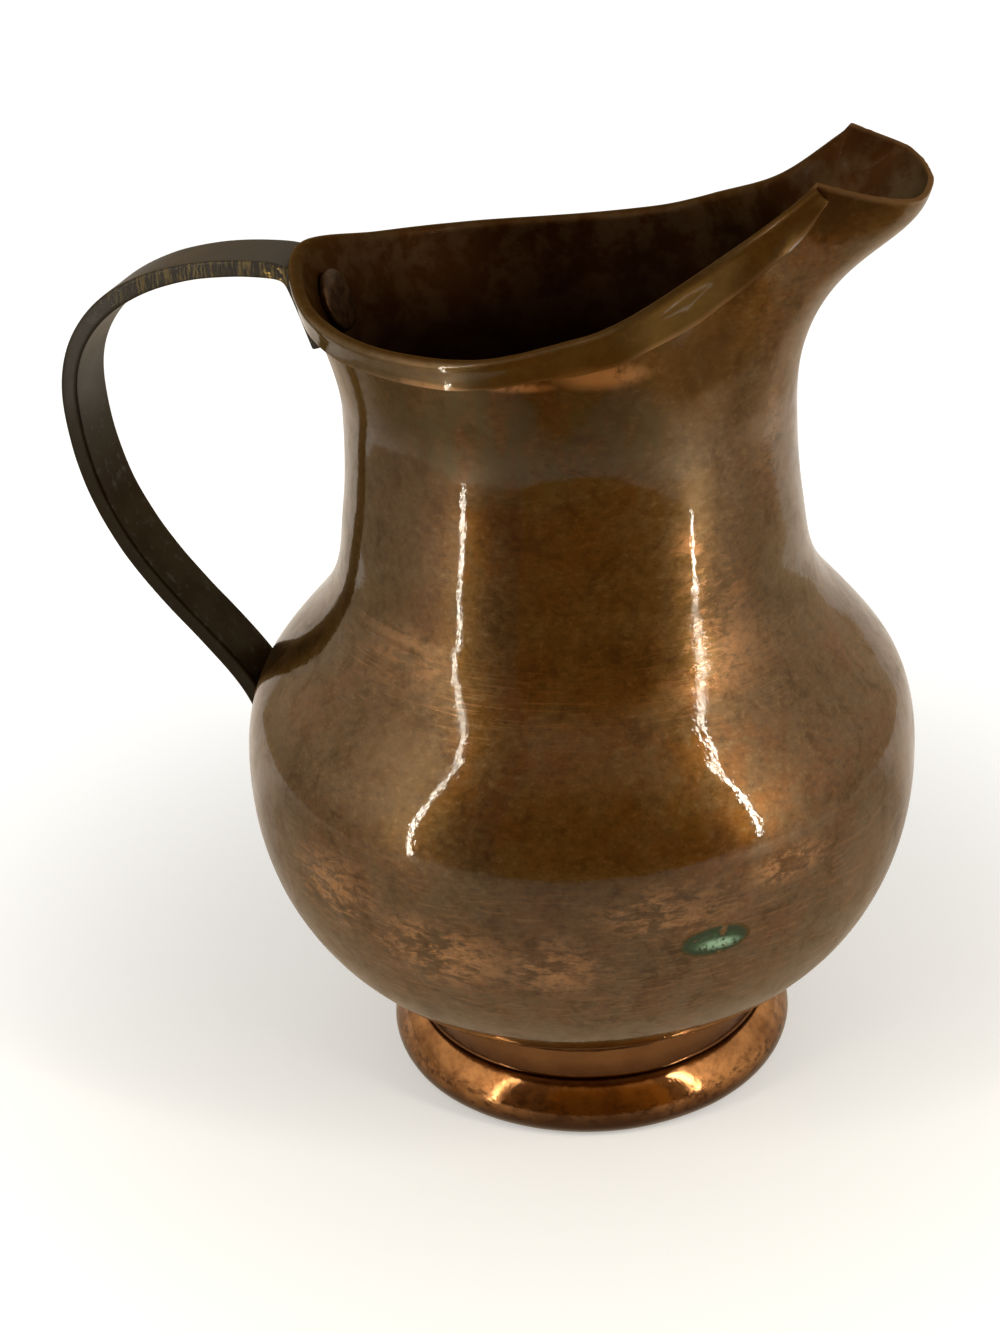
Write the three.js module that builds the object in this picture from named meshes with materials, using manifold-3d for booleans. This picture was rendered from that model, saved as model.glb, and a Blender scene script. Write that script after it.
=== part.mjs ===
// A hand-made copper pitcher with a pouring spout, a flared foot ring and a brass strap handle.
// Millimetres, +Z up. The spout points along +X and the handle lies along -X.
// The origin is on the surface that the pitcher stands on, under the middle of its length.

import * as THREE from 'three';
import { mergeVertices } from 'three/addons/utils/BufferGeometryUtils.js';
import Module from 'manifold-3d';

const wasm = await Module();
wasm.setup();

// Sheet and fits
const sheet = 1.0; // thickness of the copper sheet
const fit = 0.3; // air between two pieces that touch

// Body outline, outer face
const bottomHeight = 13.3; // underside of the bowl on its axis
const bottomReach = 43.2; // how far the flat of the bottom pulls the curve out
const bellyRadius = 63.25;
const bellyHeight = 65;
const bellyFullnessBelow = 30.4;
const bellyFullnessAbove = 32.4;
const waistRadius = 40.55; // narrowest part of the neck
const waistHeight = 136;
const waistSlimness = 56.5; // how far the neck stays slim below its waist

// Seam between the bowl and the neck
const seamHeight = 104;
const seamLap = 5; // length of bowl sheet tucked up inside the neck
const seamBeadWidth = 2.6;
const seamBeadRise = 0.35;

// Rim: the sheet is folded outward and hammered down onto the neck
const hemHeight = 4.7; // from the top of the fold to its raw edge
const hemGap = 0.5; // left inside the fold
const hemLift = 0.3; // how far the raw edge springs away from the neck
const hemLiftAtSpout = 1.4; // the same beside the spout, where the fold stands open
const hemEndShare = 0.42; // share of its height left to the fold at a corner of the lip

// Foot ring
const footRadius = 39.8;
const footBulgeHeight = 5.2; // height of the widest line of the flange
const footSeatRadius = 35.4; // outside of the flat face that the pitcher stands on
const footSeatWidth = 3.4;
const footCollarRadius = 34.6;
const footCollarHeight = 12; // height of the corner between collar and flange
const footWall = 1.8;
const solderLeg = 2.2;

// Handle: a flat brass bar
const barWidth = 12.6;
const barThickness = 3.2;
const barEase = 0.5; // corner of the bar taken off by the file
const handleReach = 96.2; // from the axis of the bowl to the outside of the loop
const handleOuterHeight = 130.2; // height of the outermost point of the loop
const handleCrestReach = 55.5; // from the axis to the highest point of the loop
const handleCrestDrop = 1.6; // from the top of the rim at the back down to the top face of the bar there
const handleCrestPull = 20;
const handleOuterPullUp = 19;
const handleOuterPullDown = 33.9;
const upperTabDrop = 16.8; // from the top of the rim down to the lower end of the tab on the neck
const upperBendDrop = 7.3; // from the top of the rim down to where the bar leaves the neck
const lowerEndHeight = 69.5; // where the middle of the bar runs into the belly
const lowerEndSlant = 20; // between the bar and the upright there, in degrees
const lowerEndPull = 16;
const barSolderLeg = 1.1; // width and height of the solder round the foot of the bar

// Rivet through the tab and the neck
const rivetShankRadius = 2.2;
const rivetOuterHeadRadius = 3.6;
const rivetOuterHeadHeight = 1.3;
const rivetInnerHeadRadius = 5.7;
const rivetInnerHeadHeight = 1.2;
const rivetDrop = 10.9; // from the top of the rim at the back down to the middle of the rivet

// Rim and lip, from the back of the neck round one side to the tip of the spout.
// x, y, z: top of the edge. turn: where its upright starts on the waist circle, in degrees.
// leanX, leanY: how the sheet leans outward at the edge, per unit of height.
// low, high: how long the upright keeps the direction of the waist and of the edge.
const rimBack = { x: -48.4, y: 0, z: 161.3, turn: 180, leanX: -0.45, leanY: 0, low: 5, high: 8 };
const rimBackQuarter = { x: -40.7, y: 19.8, z: 157.6, turn: 154, leanX: -0.28, leanY: 0.12, low: 6, high: 8 };
const rimQuarter = { x: -25.3, y: 33.5, z: 156.1, turn: 127, leanX: -0.08, leanY: 0.06, low: 7, high: 7 };
const rimSide = { x: -5.8, y: 39.4, z: 156.6, turn: 98, leanX: 0, leanY: -0.04, low: 8, high: 7 };
const rimFrontQuarter = { x: 9.0, y: 37.1, z: 159.5, turn: 77, leanX: 0, leanY: -0.06, low: 9, high: 8 };
const rimShoulder = { x: 19.8, y: 33.9, z: 163.3, turn: 60, leanX: 0.05, leanY: -0.06, low: 10, high: 9 };
const rimThroat = { x: 34.3, y: 21.5, z: 171.3, turn: 40, leanX: 0.22, leanY: -0.08, low: 14, high: 10 };
const lipCorner = { x: 47.2, y: 18.4, z: 181.3, turn: 27, leanX: 0.6, leanY: 0.1, low: 22, high: 12 };
const lipQuarter = { x: 57.3, y: 15.8, z: 178.4, turn: 17, leanX: 0.7, leanY: 0.34, low: 26, high: 12 };
const lipFront = { x: 62.0, y: 8.3, z: 176.4, turn: 8, leanX: 0.4, leanY: 0.15, low: 28, high: 11 };
const lipTip = { x: 63.1, y: 0, z: 176.1, turn: 0, leanX: 0.22, leanY: 0, low: 27.5, high: 10.7 };

// Fineness of the facets
const roundSegments = 64;
const rimSpanShares = [0, 0.25, 0.5, 0.75];
const cornerSpanShares = [0, 0.05, 0.16, 0.32, 0.5, 0.75]; // closer together beside a corner of the lip
const lipSpanShares = [0, 0.33, 0.67];
const neckRows = 4;
const uprightRows = 9;

const copper = new THREE.MeshStandardMaterial({ color: 0x6b4a2e, roughness: 0.38, metalness: 0.9 });
const brightCopper = new THREE.MeshStandardMaterial({ color: 0xb0703c, roughness: 0.25, metalness: 0.95 });
const solder = new THREE.MeshStandardMaterial({ color: 0x8d6a4a, roughness: 0.45, metalness: 0.8 });
const brass = new THREE.MeshStandardMaterial({ color: 0x5a5236, roughness: 0.42, metalness: 0.85 });

const length = handleReach + lipTip.x;
const bowlAxis = handleReach - length / 2;

const pitcher = new THREE.Group();
pitcher.position.x = bowlAxis;

function place(name, geometry, material) {
  const mesh = new THREE.Mesh(geometry, material);
  mesh.name = name;
  pitcher.add(mesh);
  return mesh;
}

// Booleans on closed meshes

function toManifold(geometry) {
  const bare = geometry.clone();
  bare.deleteAttribute('normal');
  bare.deleteAttribute('uv');
  const merged = mergeVertices(bare, 1e-4);
  const corners = merged.index.array;
  const kept = [];
  for (let i = 0; i < corners.length; i += 3) {
    const [a, b, c] = [corners[i], corners[i + 1], corners[i + 2]];
    if (a !== b && b !== c && c !== a) kept.push(a, b, c);
  }
  return new wasm.Manifold(new wasm.Mesh({
    numProp: 3,
    vertProperties: new Float32Array(merged.attributes.position.array),
    triVerts: new Uint32Array(kept),
  }));
}

function fromManifold(solid) {
  const mesh = solid.getMesh();
  const geometry = new THREE.BufferGeometry();
  geometry.setAttribute('position', new THREE.BufferAttribute(mesh.vertProperties, 3));
  geometry.setIndex(new THREE.BufferAttribute(mesh.triVerts, 1));
  geometry.computeVertexNormals();
  return geometry;
}

function cut(geometry, ...cutters) {
  let solid = toManifold(geometry);
  for (const cutter of cutters) solid = solid.subtract(toManifold(cutter));
  return fromManifold(solid);
}

// Outlines in the plane of radius and height

const lowerOutline = new THREE.CubicBezierCurve(
  new THREE.Vector2(0, bottomHeight),
  new THREE.Vector2(bottomReach, bottomHeight),
  new THREE.Vector2(bellyRadius, bellyHeight - bellyFullnessBelow),
  new THREE.Vector2(bellyRadius, bellyHeight),
);
const upperOutline = new THREE.CubicBezierCurve(
  new THREE.Vector2(bellyRadius, bellyHeight),
  new THREE.Vector2(bellyRadius, bellyHeight + bellyFullnessAbove),
  new THREE.Vector2(waistRadius, waistHeight - waistSlimness),
  new THREE.Vector2(waistRadius, waistHeight),
);

// Finds where a curve reaches a value of one coordinate, which grows or shrinks steadily along it.
function shareAt(curve, axis, value) {
  const rising = curve.getPoint(1)[axis] > curve.getPoint(0)[axis];
  let low = 0;
  let high = 1;
  for (let step = 0; step < 40; step++) {
    const middle = (low + high) / 2;
    if ((curve.getPoint(middle)[axis] < value) === rising) low = middle;
    else high = middle;
  }
  return (low + high) / 2;
}

// A point of the body's outer face at a height, with the outward direction there.
function bodyAt(height) {
  const curve = height < bellyHeight ? lowerOutline : upperOutline;
  const share = shareAt(curve, 'y', height);
  const tangent = curve.getTangent(share);
  return { point: curve.getPoint(share), outward: new THREE.Vector2(tangent.y, -tangent.x) };
}

function bodyRadiusAt(height) {
  return bodyAt(height).point.x;
}

function bowlUndersideAt(radius) {
  return lowerOutline.getPoint(shareAt(lowerOutline, 'x', radius)).y;
}

// A line beside another one, on its left side when the distance is positive.
function besideLine(points, distance) {
  return points.map((point, i) => {
    const before = points[Math.max(i - 1, 0)];
    const after = points[Math.min(i + 1, points.length - 1)];
    const along = after.clone().sub(before).normalize();
    return new THREE.Vector2(point.x - along.y * distance, point.y + along.x * distance);
  });
}

function revolve(profile, segments = roundSegments) {
  const geometry = new THREE.LatheGeometry(profile, segments);
  geometry.rotateX(Math.PI / 2);
  return geometry;
}

function vectors(pairs) {
  return pairs.map(([x, y]) => new THREE.Vector2(x, y));
}

// Bowl: a shell whose upper edge is drawn in to slip up inside the neck

function bowlGeometry() {
  const outer = [];
  const lowerSteps = 8;
  for (let i = 0; i < lowerSteps; i++) outer.push(lowerOutline.getPoint(i / lowerSteps));
  const upperEnd = shareAt(upperOutline, 'y', seamHeight - seamBeadWidth / 2);
  const upperSteps = 6;
  for (let i = 0; i <= upperSteps; i++) outer.push(upperOutline.getPoint(upperEnd * i / upperSteps));
  const tucked = sheet + fit;
  for (const height of [seamHeight, seamHeight + seamLap]) {
    outer.push(new THREE.Vector2(bodyRadiusAt(height) - tucked, height - fit));
  }
  const inner = besideLine(outer, sheet);
  inner[0].x = 0;
  return revolve([...outer, ...inner.reverse()]);
}

// Seam: a low bead of hard solder over the joint of bowl and neck

function seamGeometry() {
  const low = bodyAt(seamHeight - seamBeadWidth / 2);
  const high = bodyAt(seamHeight + seamBeadWidth / 2);
  const middle = bodyAt(seamHeight);
  const out = ({ point, outward }, distance) => point.clone().addScaledVector(outward, distance);
  const quarter = seamBeadWidth / 4;
  const profile = [
    out(low, fit),
    out(bodyAt(seamHeight - quarter), fit + seamBeadRise * 0.75),
    out(middle, fit + seamBeadRise),
    out(bodyAt(seamHeight + quarter), fit + seamBeadRise * 0.75),
    out(high, fit),
    out(middle, fit),
  ];
  return revolve([...profile, profile[0]]);
}

// Foot ring: a collar under the bowl, a sharp corner, and a round flange down to the table

function footGeometry() {
  const collarTop = bowlUndersideAt(footCollarRadius) - fit;
  const collarInner = footCollarRadius - footWall;
  const seatInner = footSeatRadius - footSeatWidth;
  const underBulge = new THREE.EllipseCurve(
    footSeatRadius, footBulgeHeight, footRadius - footSeatRadius, footBulgeHeight, -Math.PI / 2, 0,
  );
  const overBulge = new THREE.EllipseCurve(
    footCollarRadius, footBulgeHeight, footRadius - footCollarRadius, footCollarHeight - footBulgeHeight,
    0, Math.PI / 2,
  );
  const profile = [
    new THREE.Vector2(seatInner, 0),
    ...underBulge.getPoints(4).slice(0, -1),
    ...overBulge.getPoints(5),
    new THREE.Vector2(footCollarRadius, collarTop),
    new THREE.Vector2(collarInner, bowlUndersideAt(collarInner) - fit),
    new THREE.Vector2(collarInner, footCollarHeight - footWall),
    new THREE.Vector2(seatInner, footWall * 1.5),
    new THREE.Vector2(seatInner, 0),
  ];
  return revolve(profile);
}

// Foot solder: a hollow fillet in the corner between bowl and collar

function footSolderGeometry() {
  const inside = footCollarRadius + fit;
  const outside = inside + solderLeg;
  const under = (radius) => bowlUndersideAt(radius) - fit;
  const foot = under(inside) - solderLeg;
  const profile = vectors([
    [inside, foot],
    [inside + solderLeg * 0.22, foot + solderLeg * 0.85],
    [outside, under(outside)],
    [inside, under(inside)],
    [inside, foot],
  ]);
  return revolve(profile);
}

// Neck and spout: each station round the rim has an upright, a curve that rises from the
// waist circle and ends at the edge in the direction in which the sheet leans there.

const stationKeys = ['x', 'y', 'z', 'turn', 'leanX', 'leanY', 'low', 'high'];

function mirrored(station, fullTurn) {
  return { ...station, y: -station.y, leanY: -station.leanY, turn: fullTurn - station.turn };
}

// Smooth run through four neighbours, from the second to the third.
function between(a, b, c, d, share) {
  const result = {};
  for (const key of stationKeys) {
    const curve = new THREE.SplineCurve([a, b, c, d].map((station, i) => new THREE.Vector2(i, station[key])));
    result[key] = curve.getPoint((1 + share) / 3).y;
  }
  return result;
}

function beyond(end, before) {
  const result = {};
  for (const key of stationKeys) result[key] = 2 * end[key] - before[key];
  return result;
}

// Stations along a run of named ones, without the last of them.
function spread(run, before, after, sharesOfSpan) {
  const all = [before, ...run, after];
  const result = [];
  for (let span = 0; span < run.length - 1; span++) {
    for (const share of sharesOfSpan(span)) {
      result.push(between(all[span], all[span + 1], all[span + 2], all[span + 3], share));
    }
  }
  return result;
}

const lipRun = [lipTip, lipFront, lipQuarter, lipCorner];
const rimRun = [lipCorner, rimThroat, rimShoulder, rimFrontQuarter, rimSide, rimQuarter, rimBackQuarter, rimBack];
const lipStations = spread(lipRun, mirrored(lipFront, 0), beyond(lipCorner, lipQuarter), () => lipSpanShares);
const rimStations = spread(
  rimRun,
  beyond(lipCorner, rimThroat),
  mirrored(rimBackQuarter, 360),
  (span) => (span === 0 ? cornerSpanShares : rimSpanShares),
);
const halfStations = [...lipStations, ...rimStations, rimBack];
const stations = [
  ...halfStations,
  ...halfStations.slice(1, -1).reverse().map((station) => mirrored(station, 360)),
];
const cornerStation = lipStations.length;
const hemStart = cornerStation + 1;
const hemEnd = stations.length - hemStart;

const foldRadius = hemGap / 2 + sheet;

function hasHem(index) {
  return index >= hemStart && index <= hemEnd;
}

// How far along the fold a station lies from the nearer corner of the lip: 0 there, 1 at the back.
const rimLengths = [0];
for (let index = cornerStation; index < halfStations.length - 1; index++) {
  rimLengths.push(rimLengths.at(-1) + edgePoint(stations[index]).distanceTo(edgePoint(stations[index + 1])));
}
function alongRim(index) {
  const fromCorner = Math.min(index, stations.length - index) - cornerStation;
  return rimLengths[fromCorner] / rimLengths.at(-1);
}

// Beside the spout the fold stands open, and it draws in at the corner itself.
const foldDrawnIn = 0.06;
const foldOpenUntil = 0.5;
function hemForm(index) {
  const along = alongRim(index);
  const nearSpout = 1 - THREE.MathUtils.smoothstep(along, foldDrawnIn, foldOpenUntil);
  const fromCorner = THREE.MathUtils.smoothstep(along, -foldDrawnIn, foldDrawnIn) * 2 - 1;
  return {
    drop: (hemHeight - foldRadius) * THREE.MathUtils.lerp(hemEndShare, 1, fromCorner),
    lift: THREE.MathUtils.lerp(hemLift, hemLiftAtSpout, nearSpout) * fromCorner,
  };
}

function edgePoint({ x, y, z }) {
  return new THREE.Vector3(x, y, z);
}

function leanOf({ leanX, leanY }) {
  return new THREE.Vector3(leanX, leanY, 1).normalize();
}

// Direction of the edge at a station. A station of the fold doesn't look past the corners
// of the lip, and one of the lip doesn't look past them into the fold.
function edgeDirection(index) {
  const farCorner = stations.length - cornerStation;
  let [before, after] = [index - 1, index + 1];
  if (hasHem(index)) [before, after] = [Math.max(before, cornerStation), Math.min(after, farCorner)];
  if (index === cornerStation) after = index;
  if (index === farCorner) before = index;
  const at = (station) => edgePoint(stations[(station + stations.length) % stations.length]);
  return at(after).sub(at(before)).normalize();
}

function uprightCurve(station) {
  const angle = THREE.MathUtils.degToRad(station.turn);
  const foot = new THREE.Vector3(waistRadius * Math.cos(angle), waistRadius * Math.sin(angle), waistHeight);
  const edge = edgePoint(station);
  return new THREE.CubicBezierCurve3(
    foot,
    foot.clone().add(new THREE.Vector3(0, 0, station.low)),
    edge.clone().addScaledVector(leanOf(station), -station.high),
    edge,
  );
}

// Where the plain wall ends: at the edge, or square below it where the fold begins.
function wallTop(station, index) {
  const edge = edgePoint(station);
  if (!hasHem(index)) return edge;
  const up = leanOf(station).projectOnPlane(edgeDirection(index)).normalize();
  return edge.addScaledVector(up, -foldRadius);
}

// Outer face of the neck at every station: rows round the body, then rows up the uprights.
const outerGrid = stations.map((station, index) => {
  const angle = THREE.MathUtils.degToRad(station.turn);
  const column = [];
  for (let row = 0; row < neckRows; row++) {
    const height = seamHeight + (waistHeight - seamHeight) * row / neckRows;
    const radius = bodyRadiusAt(height);
    column.push(new THREE.Vector3(radius * Math.cos(angle), radius * Math.sin(angle), height));
  }
  const upright = uprightCurve(station);
  for (let row = 0; row < uprightRows; row++) column.push(upright.getPoint(row / uprightRows));
  column.push(wallTop(station, index));
  return column;
});
const rowCount = outerGrid[0].length;

const outwards = outerGrid.map((column, index) => column.map((point, row) => {
  const before = outerGrid[(index + stations.length - 1) % stations.length];
  const after = outerGrid[(index + 1) % stations.length];
  const isTop = row === rowCount - 1;
  const around = isTop ? edgeDirection(index) : after[row].clone().sub(before[row]);
  const up = column[isTop ? row : row + 1].clone().sub(column[Math.max(row - 1, 0)]);
  return around.cross(up).normalize();
}));

// A point near the top of the wall, by its distances outward and up, square to the rim.
function atTop(index, outwardDistance, upDistance) {
  const along = edgeDirection(index);
  const outward = outwards[index][rowCount - 1].clone().projectOnPlane(along).normalize();
  return outerGrid[index][rowCount - 1].clone()
    .addScaledVector(outward, outwardDistance)
    .addScaledVector(outward.clone().cross(along), upDistance);
}

// Section of the fold, from the outer face of the wall round the inside of the fold, down to
// the raw edge and back over the top to the inner face. Distances outward from the wall and up.
function hemSection({ drop, lift }) {
  const middle = hemGap / 2;
  const onArc = (radius, degrees) => {
    const angle = THREE.MathUtils.degToRad(degrees);
    return [middle + radius * Math.cos(angle), radius * Math.sin(angle)];
  };
  return [
    onArc(middle, 90),
    onArc(middle, 0),
    [hemGap + lift * 0.25, -drop * 0.5],
    [hemGap + lift, -drop],
    [hemGap + sheet + lift, -drop],
    [hemGap + sheet + lift * 0.25, -drop * 0.5],
    ...[0, 35, 70, 110, 145].map((degrees) => onArc(foldRadius, degrees)),
  ];
}

function neckGeometry() {
  const points = [];
  const add = (point) => points.push(point.x, point.y, point.z) / 3 - 1;
  const sections = stations.map((station, index) => {
    const outer = outerGrid[index].map((point) => add(point));
    const inner = outerGrid[index].map((point, row) => (
      add(point.clone().addScaledVector(outwards[index][row], -sheet))
    ));
    const fold = hasHem(index) ? hemSection(hemForm(index)) : [];
    const hem = fold.map(([outward, up]) => add(atTop(index, outward, up)));
    return { outer, inner, hem };
  });
  const faces = [];
  const span = (a, b) => Math.hypot(...[0, 1, 2].map((axis) => points[3 * a + axis] - points[3 * b + axis]));
  // Each quad is split along its shorter diagonal.
  const strip = (here, there) => {
    for (let i = 0; i + 1 < here.length; i++) {
      const [a, b, c, d] = [here[i], there[i], there[i + 1], here[i + 1]];
      if (span(a, c) < span(b, d)) faces.push(a, b, c, a, c, d);
      else faces.push(a, b, d, b, c, d);
    }
  };
  const top = rowCount - 1;
  sections.forEach((section, index) => {
    const next = sections[(index + 1) % sections.length];
    strip(section.outer, next.outer);
    strip(section.inner.toReversed(), next.inner.toReversed());
    strip([section.inner[0], section.outer[0]], [next.inner[0], next.outer[0]]);
    const overHem = hasHem(index) && hasHem(index + 1);
    const edgeOf = ({ outer, inner, hem }) => [outer[top], ...(overHem ? hem : []), inner[top]];
    strip(edgeOf(section), edgeOf(next));
  });
  // The two ends of the fold
  const endLine = [[0, 0], ...hemSection(hemForm(hemStart)), [-sheet, 0]];
  const endFaces = THREE.ShapeUtils.triangulateShape(vectors(endLine), []);
  for (const index of [hemStart, hemEnd]) {
    const { outer, inner, hem } = sections[index];
    const edge = [outer[top], ...hem, inner[top]];
    for (const [a, b, c] of endFaces) {
      faces.push(...(index === hemStart ? [edge[a], edge[b], edge[c]] : [edge[a], edge[c], edge[b]]));
    }
  }
  const geometry = new THREE.BufferGeometry();
  geometry.setAttribute('position', new THREE.Float32BufferAttribute(points, 3));
  geometry.setIndex(faces);
  return geometry;
}

// A closed body through rings of points that all have the same number of corners.
function skin(rings) {
  const corners = rings[0].length;
  const faces = [];
  for (let ring = 0; ring + 1 < rings.length; ring++) {
    for (let i = 0; i < corners; i++) {
      const [a, b] = [ring * corners + i, ring * corners + (i + 1) % corners];
      faces.push(a, b, b + corners, a, b + corners, a + corners);
    }
  }
  const last = (rings.length - 1) * corners;
  for (let i = 1; i + 1 < corners; i++) {
    faces.push(0, i + 1, i);
    faces.push(last, last + i, last + i + 1);
  }
  const geometry = new THREE.BufferGeometry();
  const points = rings.flat().flatMap((point) => [point.x, point.y, point.z]);
  geometry.setAttribute('position', new THREE.Float32BufferAttribute(points, 3));
  geometry.setIndex(faces);
  return geometry;
}

// Handle: the middle line of the bar lies in the plane of spout and handle.
// Here x counts from the axis of the bowl towards the handle.

const backUpright = uprightCurve(rimBack);
const barMiddle = fit + barThickness / 2;

function neckBackAt(height) {
  const share = shareAt(backUpright, 'z', height);
  const point = backUpright.getPoint(share);
  const tangent = backUpright.getTangent(share);
  return { point: new THREE.Vector2(-point.x, point.z), outward: new THREE.Vector2(tangent.z, tangent.x) };
}

function besideWall({ point, outward }, distance) {
  return point.clone().addScaledVector(outward, distance);
}

function barLine() {
  const line = [];
  const tabSteps = 4;
  for (let i = 0; i < tabSteps; i++) {
    const drop = THREE.MathUtils.lerp(upperTabDrop, upperBendDrop, i / tabSteps);
    line.push(besideWall(neckBackAt(rimBack.z - drop), barMiddle));
  }
  const bend = neckBackAt(rimBack.z - upperBendDrop);
  const bendStart = besideWall(bend, barMiddle);
  const crest = new THREE.Vector2(handleCrestReach, rimBack.z - handleCrestDrop - barThickness / 2);
  const upward = new THREE.Vector2(-bend.outward.y, bend.outward.x);
  const bendRise = (crest.y - bendStart.y) * 0.9;
  const bendCurve = new THREE.CubicBezierCurve(
    bendStart,
    bendStart.clone().addScaledVector(upward, bendRise),
    new THREE.Vector2(crest.x - (crest.x - bendStart.x) * 0.8, crest.y),
    crest,
  );
  const outerPoint = new THREE.Vector2(handleReach - barThickness / 2, handleOuterHeight);
  const archCurve = new THREE.CubicBezierCurve(
    crest,
    new THREE.Vector2(crest.x + handleCrestPull, crest.y),
    new THREE.Vector2(outerPoint.x, outerPoint.y + handleOuterPullUp),
    outerPoint,
  );
  const slant = THREE.MathUtils.degToRad(lowerEndSlant);
  const downIn = new THREE.Vector2(-Math.sin(slant), -Math.cos(slant));
  const landing = bodyAt(lowerEndHeight).point;
  const lowerCurve = new THREE.CubicBezierCurve(
    outerPoint,
    new THREE.Vector2(outerPoint.x, outerPoint.y - handleOuterPullDown),
    landing.clone().addScaledVector(downIn, -lowerEndPull),
    landing,
  );
  for (const [curve, steps] of [[bendCurve, 10], [archCurve, 12], [lowerCurve, 18]]) {
    for (let i = 0; i < steps; i++) line.push(curve.getPoint(i / steps));
  }
  line.push(landing, landing.clone().addScaledVector(downIn, lowerEndPull));
  return line;
}

// The bar as a body, with every face moved out by a clearance.
function barGeometry(clearance = 0) {
  const line = barLine();
  const half = { width: barWidth / 2 + clearance, thickness: barThickness / 2 + clearance };
  const corner = [
    [half.width, half.thickness - barEase],
    [half.width - barEase, half.thickness],
  ];
  const section = [
    ...corner,
    ...corner.toReversed().map(([y, n]) => [-y, n]),
    ...corner.map(([y, n]) => [-y, -n]),
    ...corner.toReversed().map(([y, n]) => [y, -n]),
  ];
  const rings = line.map((point, i) => {
    const before = line[Math.max(i - 1, 0)];
    const after = line[Math.min(i + 1, line.length - 1)];
    const along = after.clone().sub(before).normalize();
    const beyondEnd = (i === 0 ? -clearance : 0) + (i === line.length - 1 ? clearance : 0);
    return section.map(([across, off]) => new THREE.Vector3(
      -(point.x + along.y * off + along.x * beyondEnd),
      across,
      point.y - along.x * off + along.y * beyondEnd,
    ));
  });
  return skin(rings);
}

// Rivet: a turned shape laid along the outward direction of the neck's wall.
// Zero is the outer face of the wall; the bar lies outside it, the large flat head inside.

function turnedAlong(profile, wall, segments) {
  const geometry = revolve(profile, segments);
  const outward = new THREE.Vector3(-wall.outward.x, 0, wall.outward.y);
  geometry.applyQuaternion(new THREE.Quaternion().setFromUnitVectors(new THREE.Vector3(0, 0, 1), outward));
  geometry.translate(-wall.point.x, 0, wall.point.y);
  return geometry;
}

function rivetGeometry(wall) {
  const sagitta = rivetInnerHeadRadius ** 2 / (2 * waistRadius);
  const headTop = -sheet - fit - sagitta;
  const headBottom = headTop - rivetInnerHeadHeight;
  const barFace = fit + barThickness + fit;
  const profile = vectors([
    [0, headBottom],
    [rivetInnerHeadRadius * 0.86, headBottom],
    [rivetInnerHeadRadius, headBottom + rivetInnerHeadHeight * 0.5],
    [rivetInnerHeadRadius, headTop],
    [rivetShankRadius, headTop],
    [rivetShankRadius, barFace],
    [rivetOuterHeadRadius, barFace],
    [rivetOuterHeadRadius * 0.85, barFace + rivetOuterHeadHeight * 0.6],
    [rivetOuterHeadRadius * 0.5, barFace + rivetOuterHeadHeight * 0.9],
    [0, barFace + rivetOuterHeadHeight],
  ]);
  return turnedAlong(profile, wall, 24);
}

function rivetHole(wall) {
  const radius = rivetShankRadius + fit;
  const reach = barThickness + sheet + 4 * fit;
  return turnedAlong(vectors([[0, -reach], [radius, -reach], [radius, reach], [0, reach]]), wall, 16);
}

// The space inside the body's outer face, grown by a distance, to cut the bar to its foot

function bodyBlock(distance) {
  const steps = 8;
  const line = [];
  for (const curve of [lowerOutline, upperOutline]) {
    for (let i = 0; i < steps; i++) line.push(curve.getPoint(i / steps));
  }
  const outside = besideLine([...line, upperOutline.getPoint(1)], -distance);
  outside[0].x = 0;
  outside.push(new THREE.Vector2(0, waistHeight));
  return revolve(outside);
}

// Solder round the foot of the bar: the skin round the bar that lies just off the bowl

function barSolderGeometry() {
  const around = toManifold(barGeometry(fit + barSolderLeg)).subtract(toManifold(barGeometry(fit)));
  const layer = toManifold(bodyBlock(fit + barSolderLeg)).subtract(toManifold(bodyBlock(fit)));
  return fromManifold(around.intersect(layer));
}

const rivetWall = neckBackAt(rimBack.z - rivetDrop);
const hole = rivetHole(rivetWall);

place('bowl', bowlGeometry(), copper);
place('neck_and_spout', cut(neckGeometry(), barGeometry(fit), hole), copper);
place('shoulder_seam', seamGeometry(), solder);
place('foot_ring', footGeometry(), brightCopper);
place('foot_solder', footSolderGeometry(), solder);
place('handle', cut(barGeometry(), bodyBlock(fit), hole), brass);
place('handle_solder', barSolderGeometry(), solder);
place('handle_rivet', rivetGeometry(rivetWall), brass);

export default pitcher;
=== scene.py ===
import math
from collections import namedtuple

import bmesh
import bpy
from mathutils import Matrix, Vector, noise
from mathutils.geometry import interpolate_bezier


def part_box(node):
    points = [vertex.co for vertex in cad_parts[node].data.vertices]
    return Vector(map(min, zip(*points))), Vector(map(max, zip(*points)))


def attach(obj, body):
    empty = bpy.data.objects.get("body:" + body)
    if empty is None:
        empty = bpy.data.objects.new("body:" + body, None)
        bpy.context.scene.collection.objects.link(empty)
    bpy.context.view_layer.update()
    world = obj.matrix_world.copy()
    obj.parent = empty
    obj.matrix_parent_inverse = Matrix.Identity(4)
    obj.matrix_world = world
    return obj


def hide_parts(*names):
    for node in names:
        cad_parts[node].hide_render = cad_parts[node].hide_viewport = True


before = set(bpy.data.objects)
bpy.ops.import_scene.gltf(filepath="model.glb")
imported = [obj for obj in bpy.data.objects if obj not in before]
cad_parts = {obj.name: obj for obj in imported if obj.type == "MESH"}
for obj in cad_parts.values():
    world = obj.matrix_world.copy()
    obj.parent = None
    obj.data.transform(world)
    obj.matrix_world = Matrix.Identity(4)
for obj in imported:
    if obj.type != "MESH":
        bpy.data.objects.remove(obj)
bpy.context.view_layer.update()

# Metres, in the frame's own axes: the spout points along +X, the handle along -X.

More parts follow.
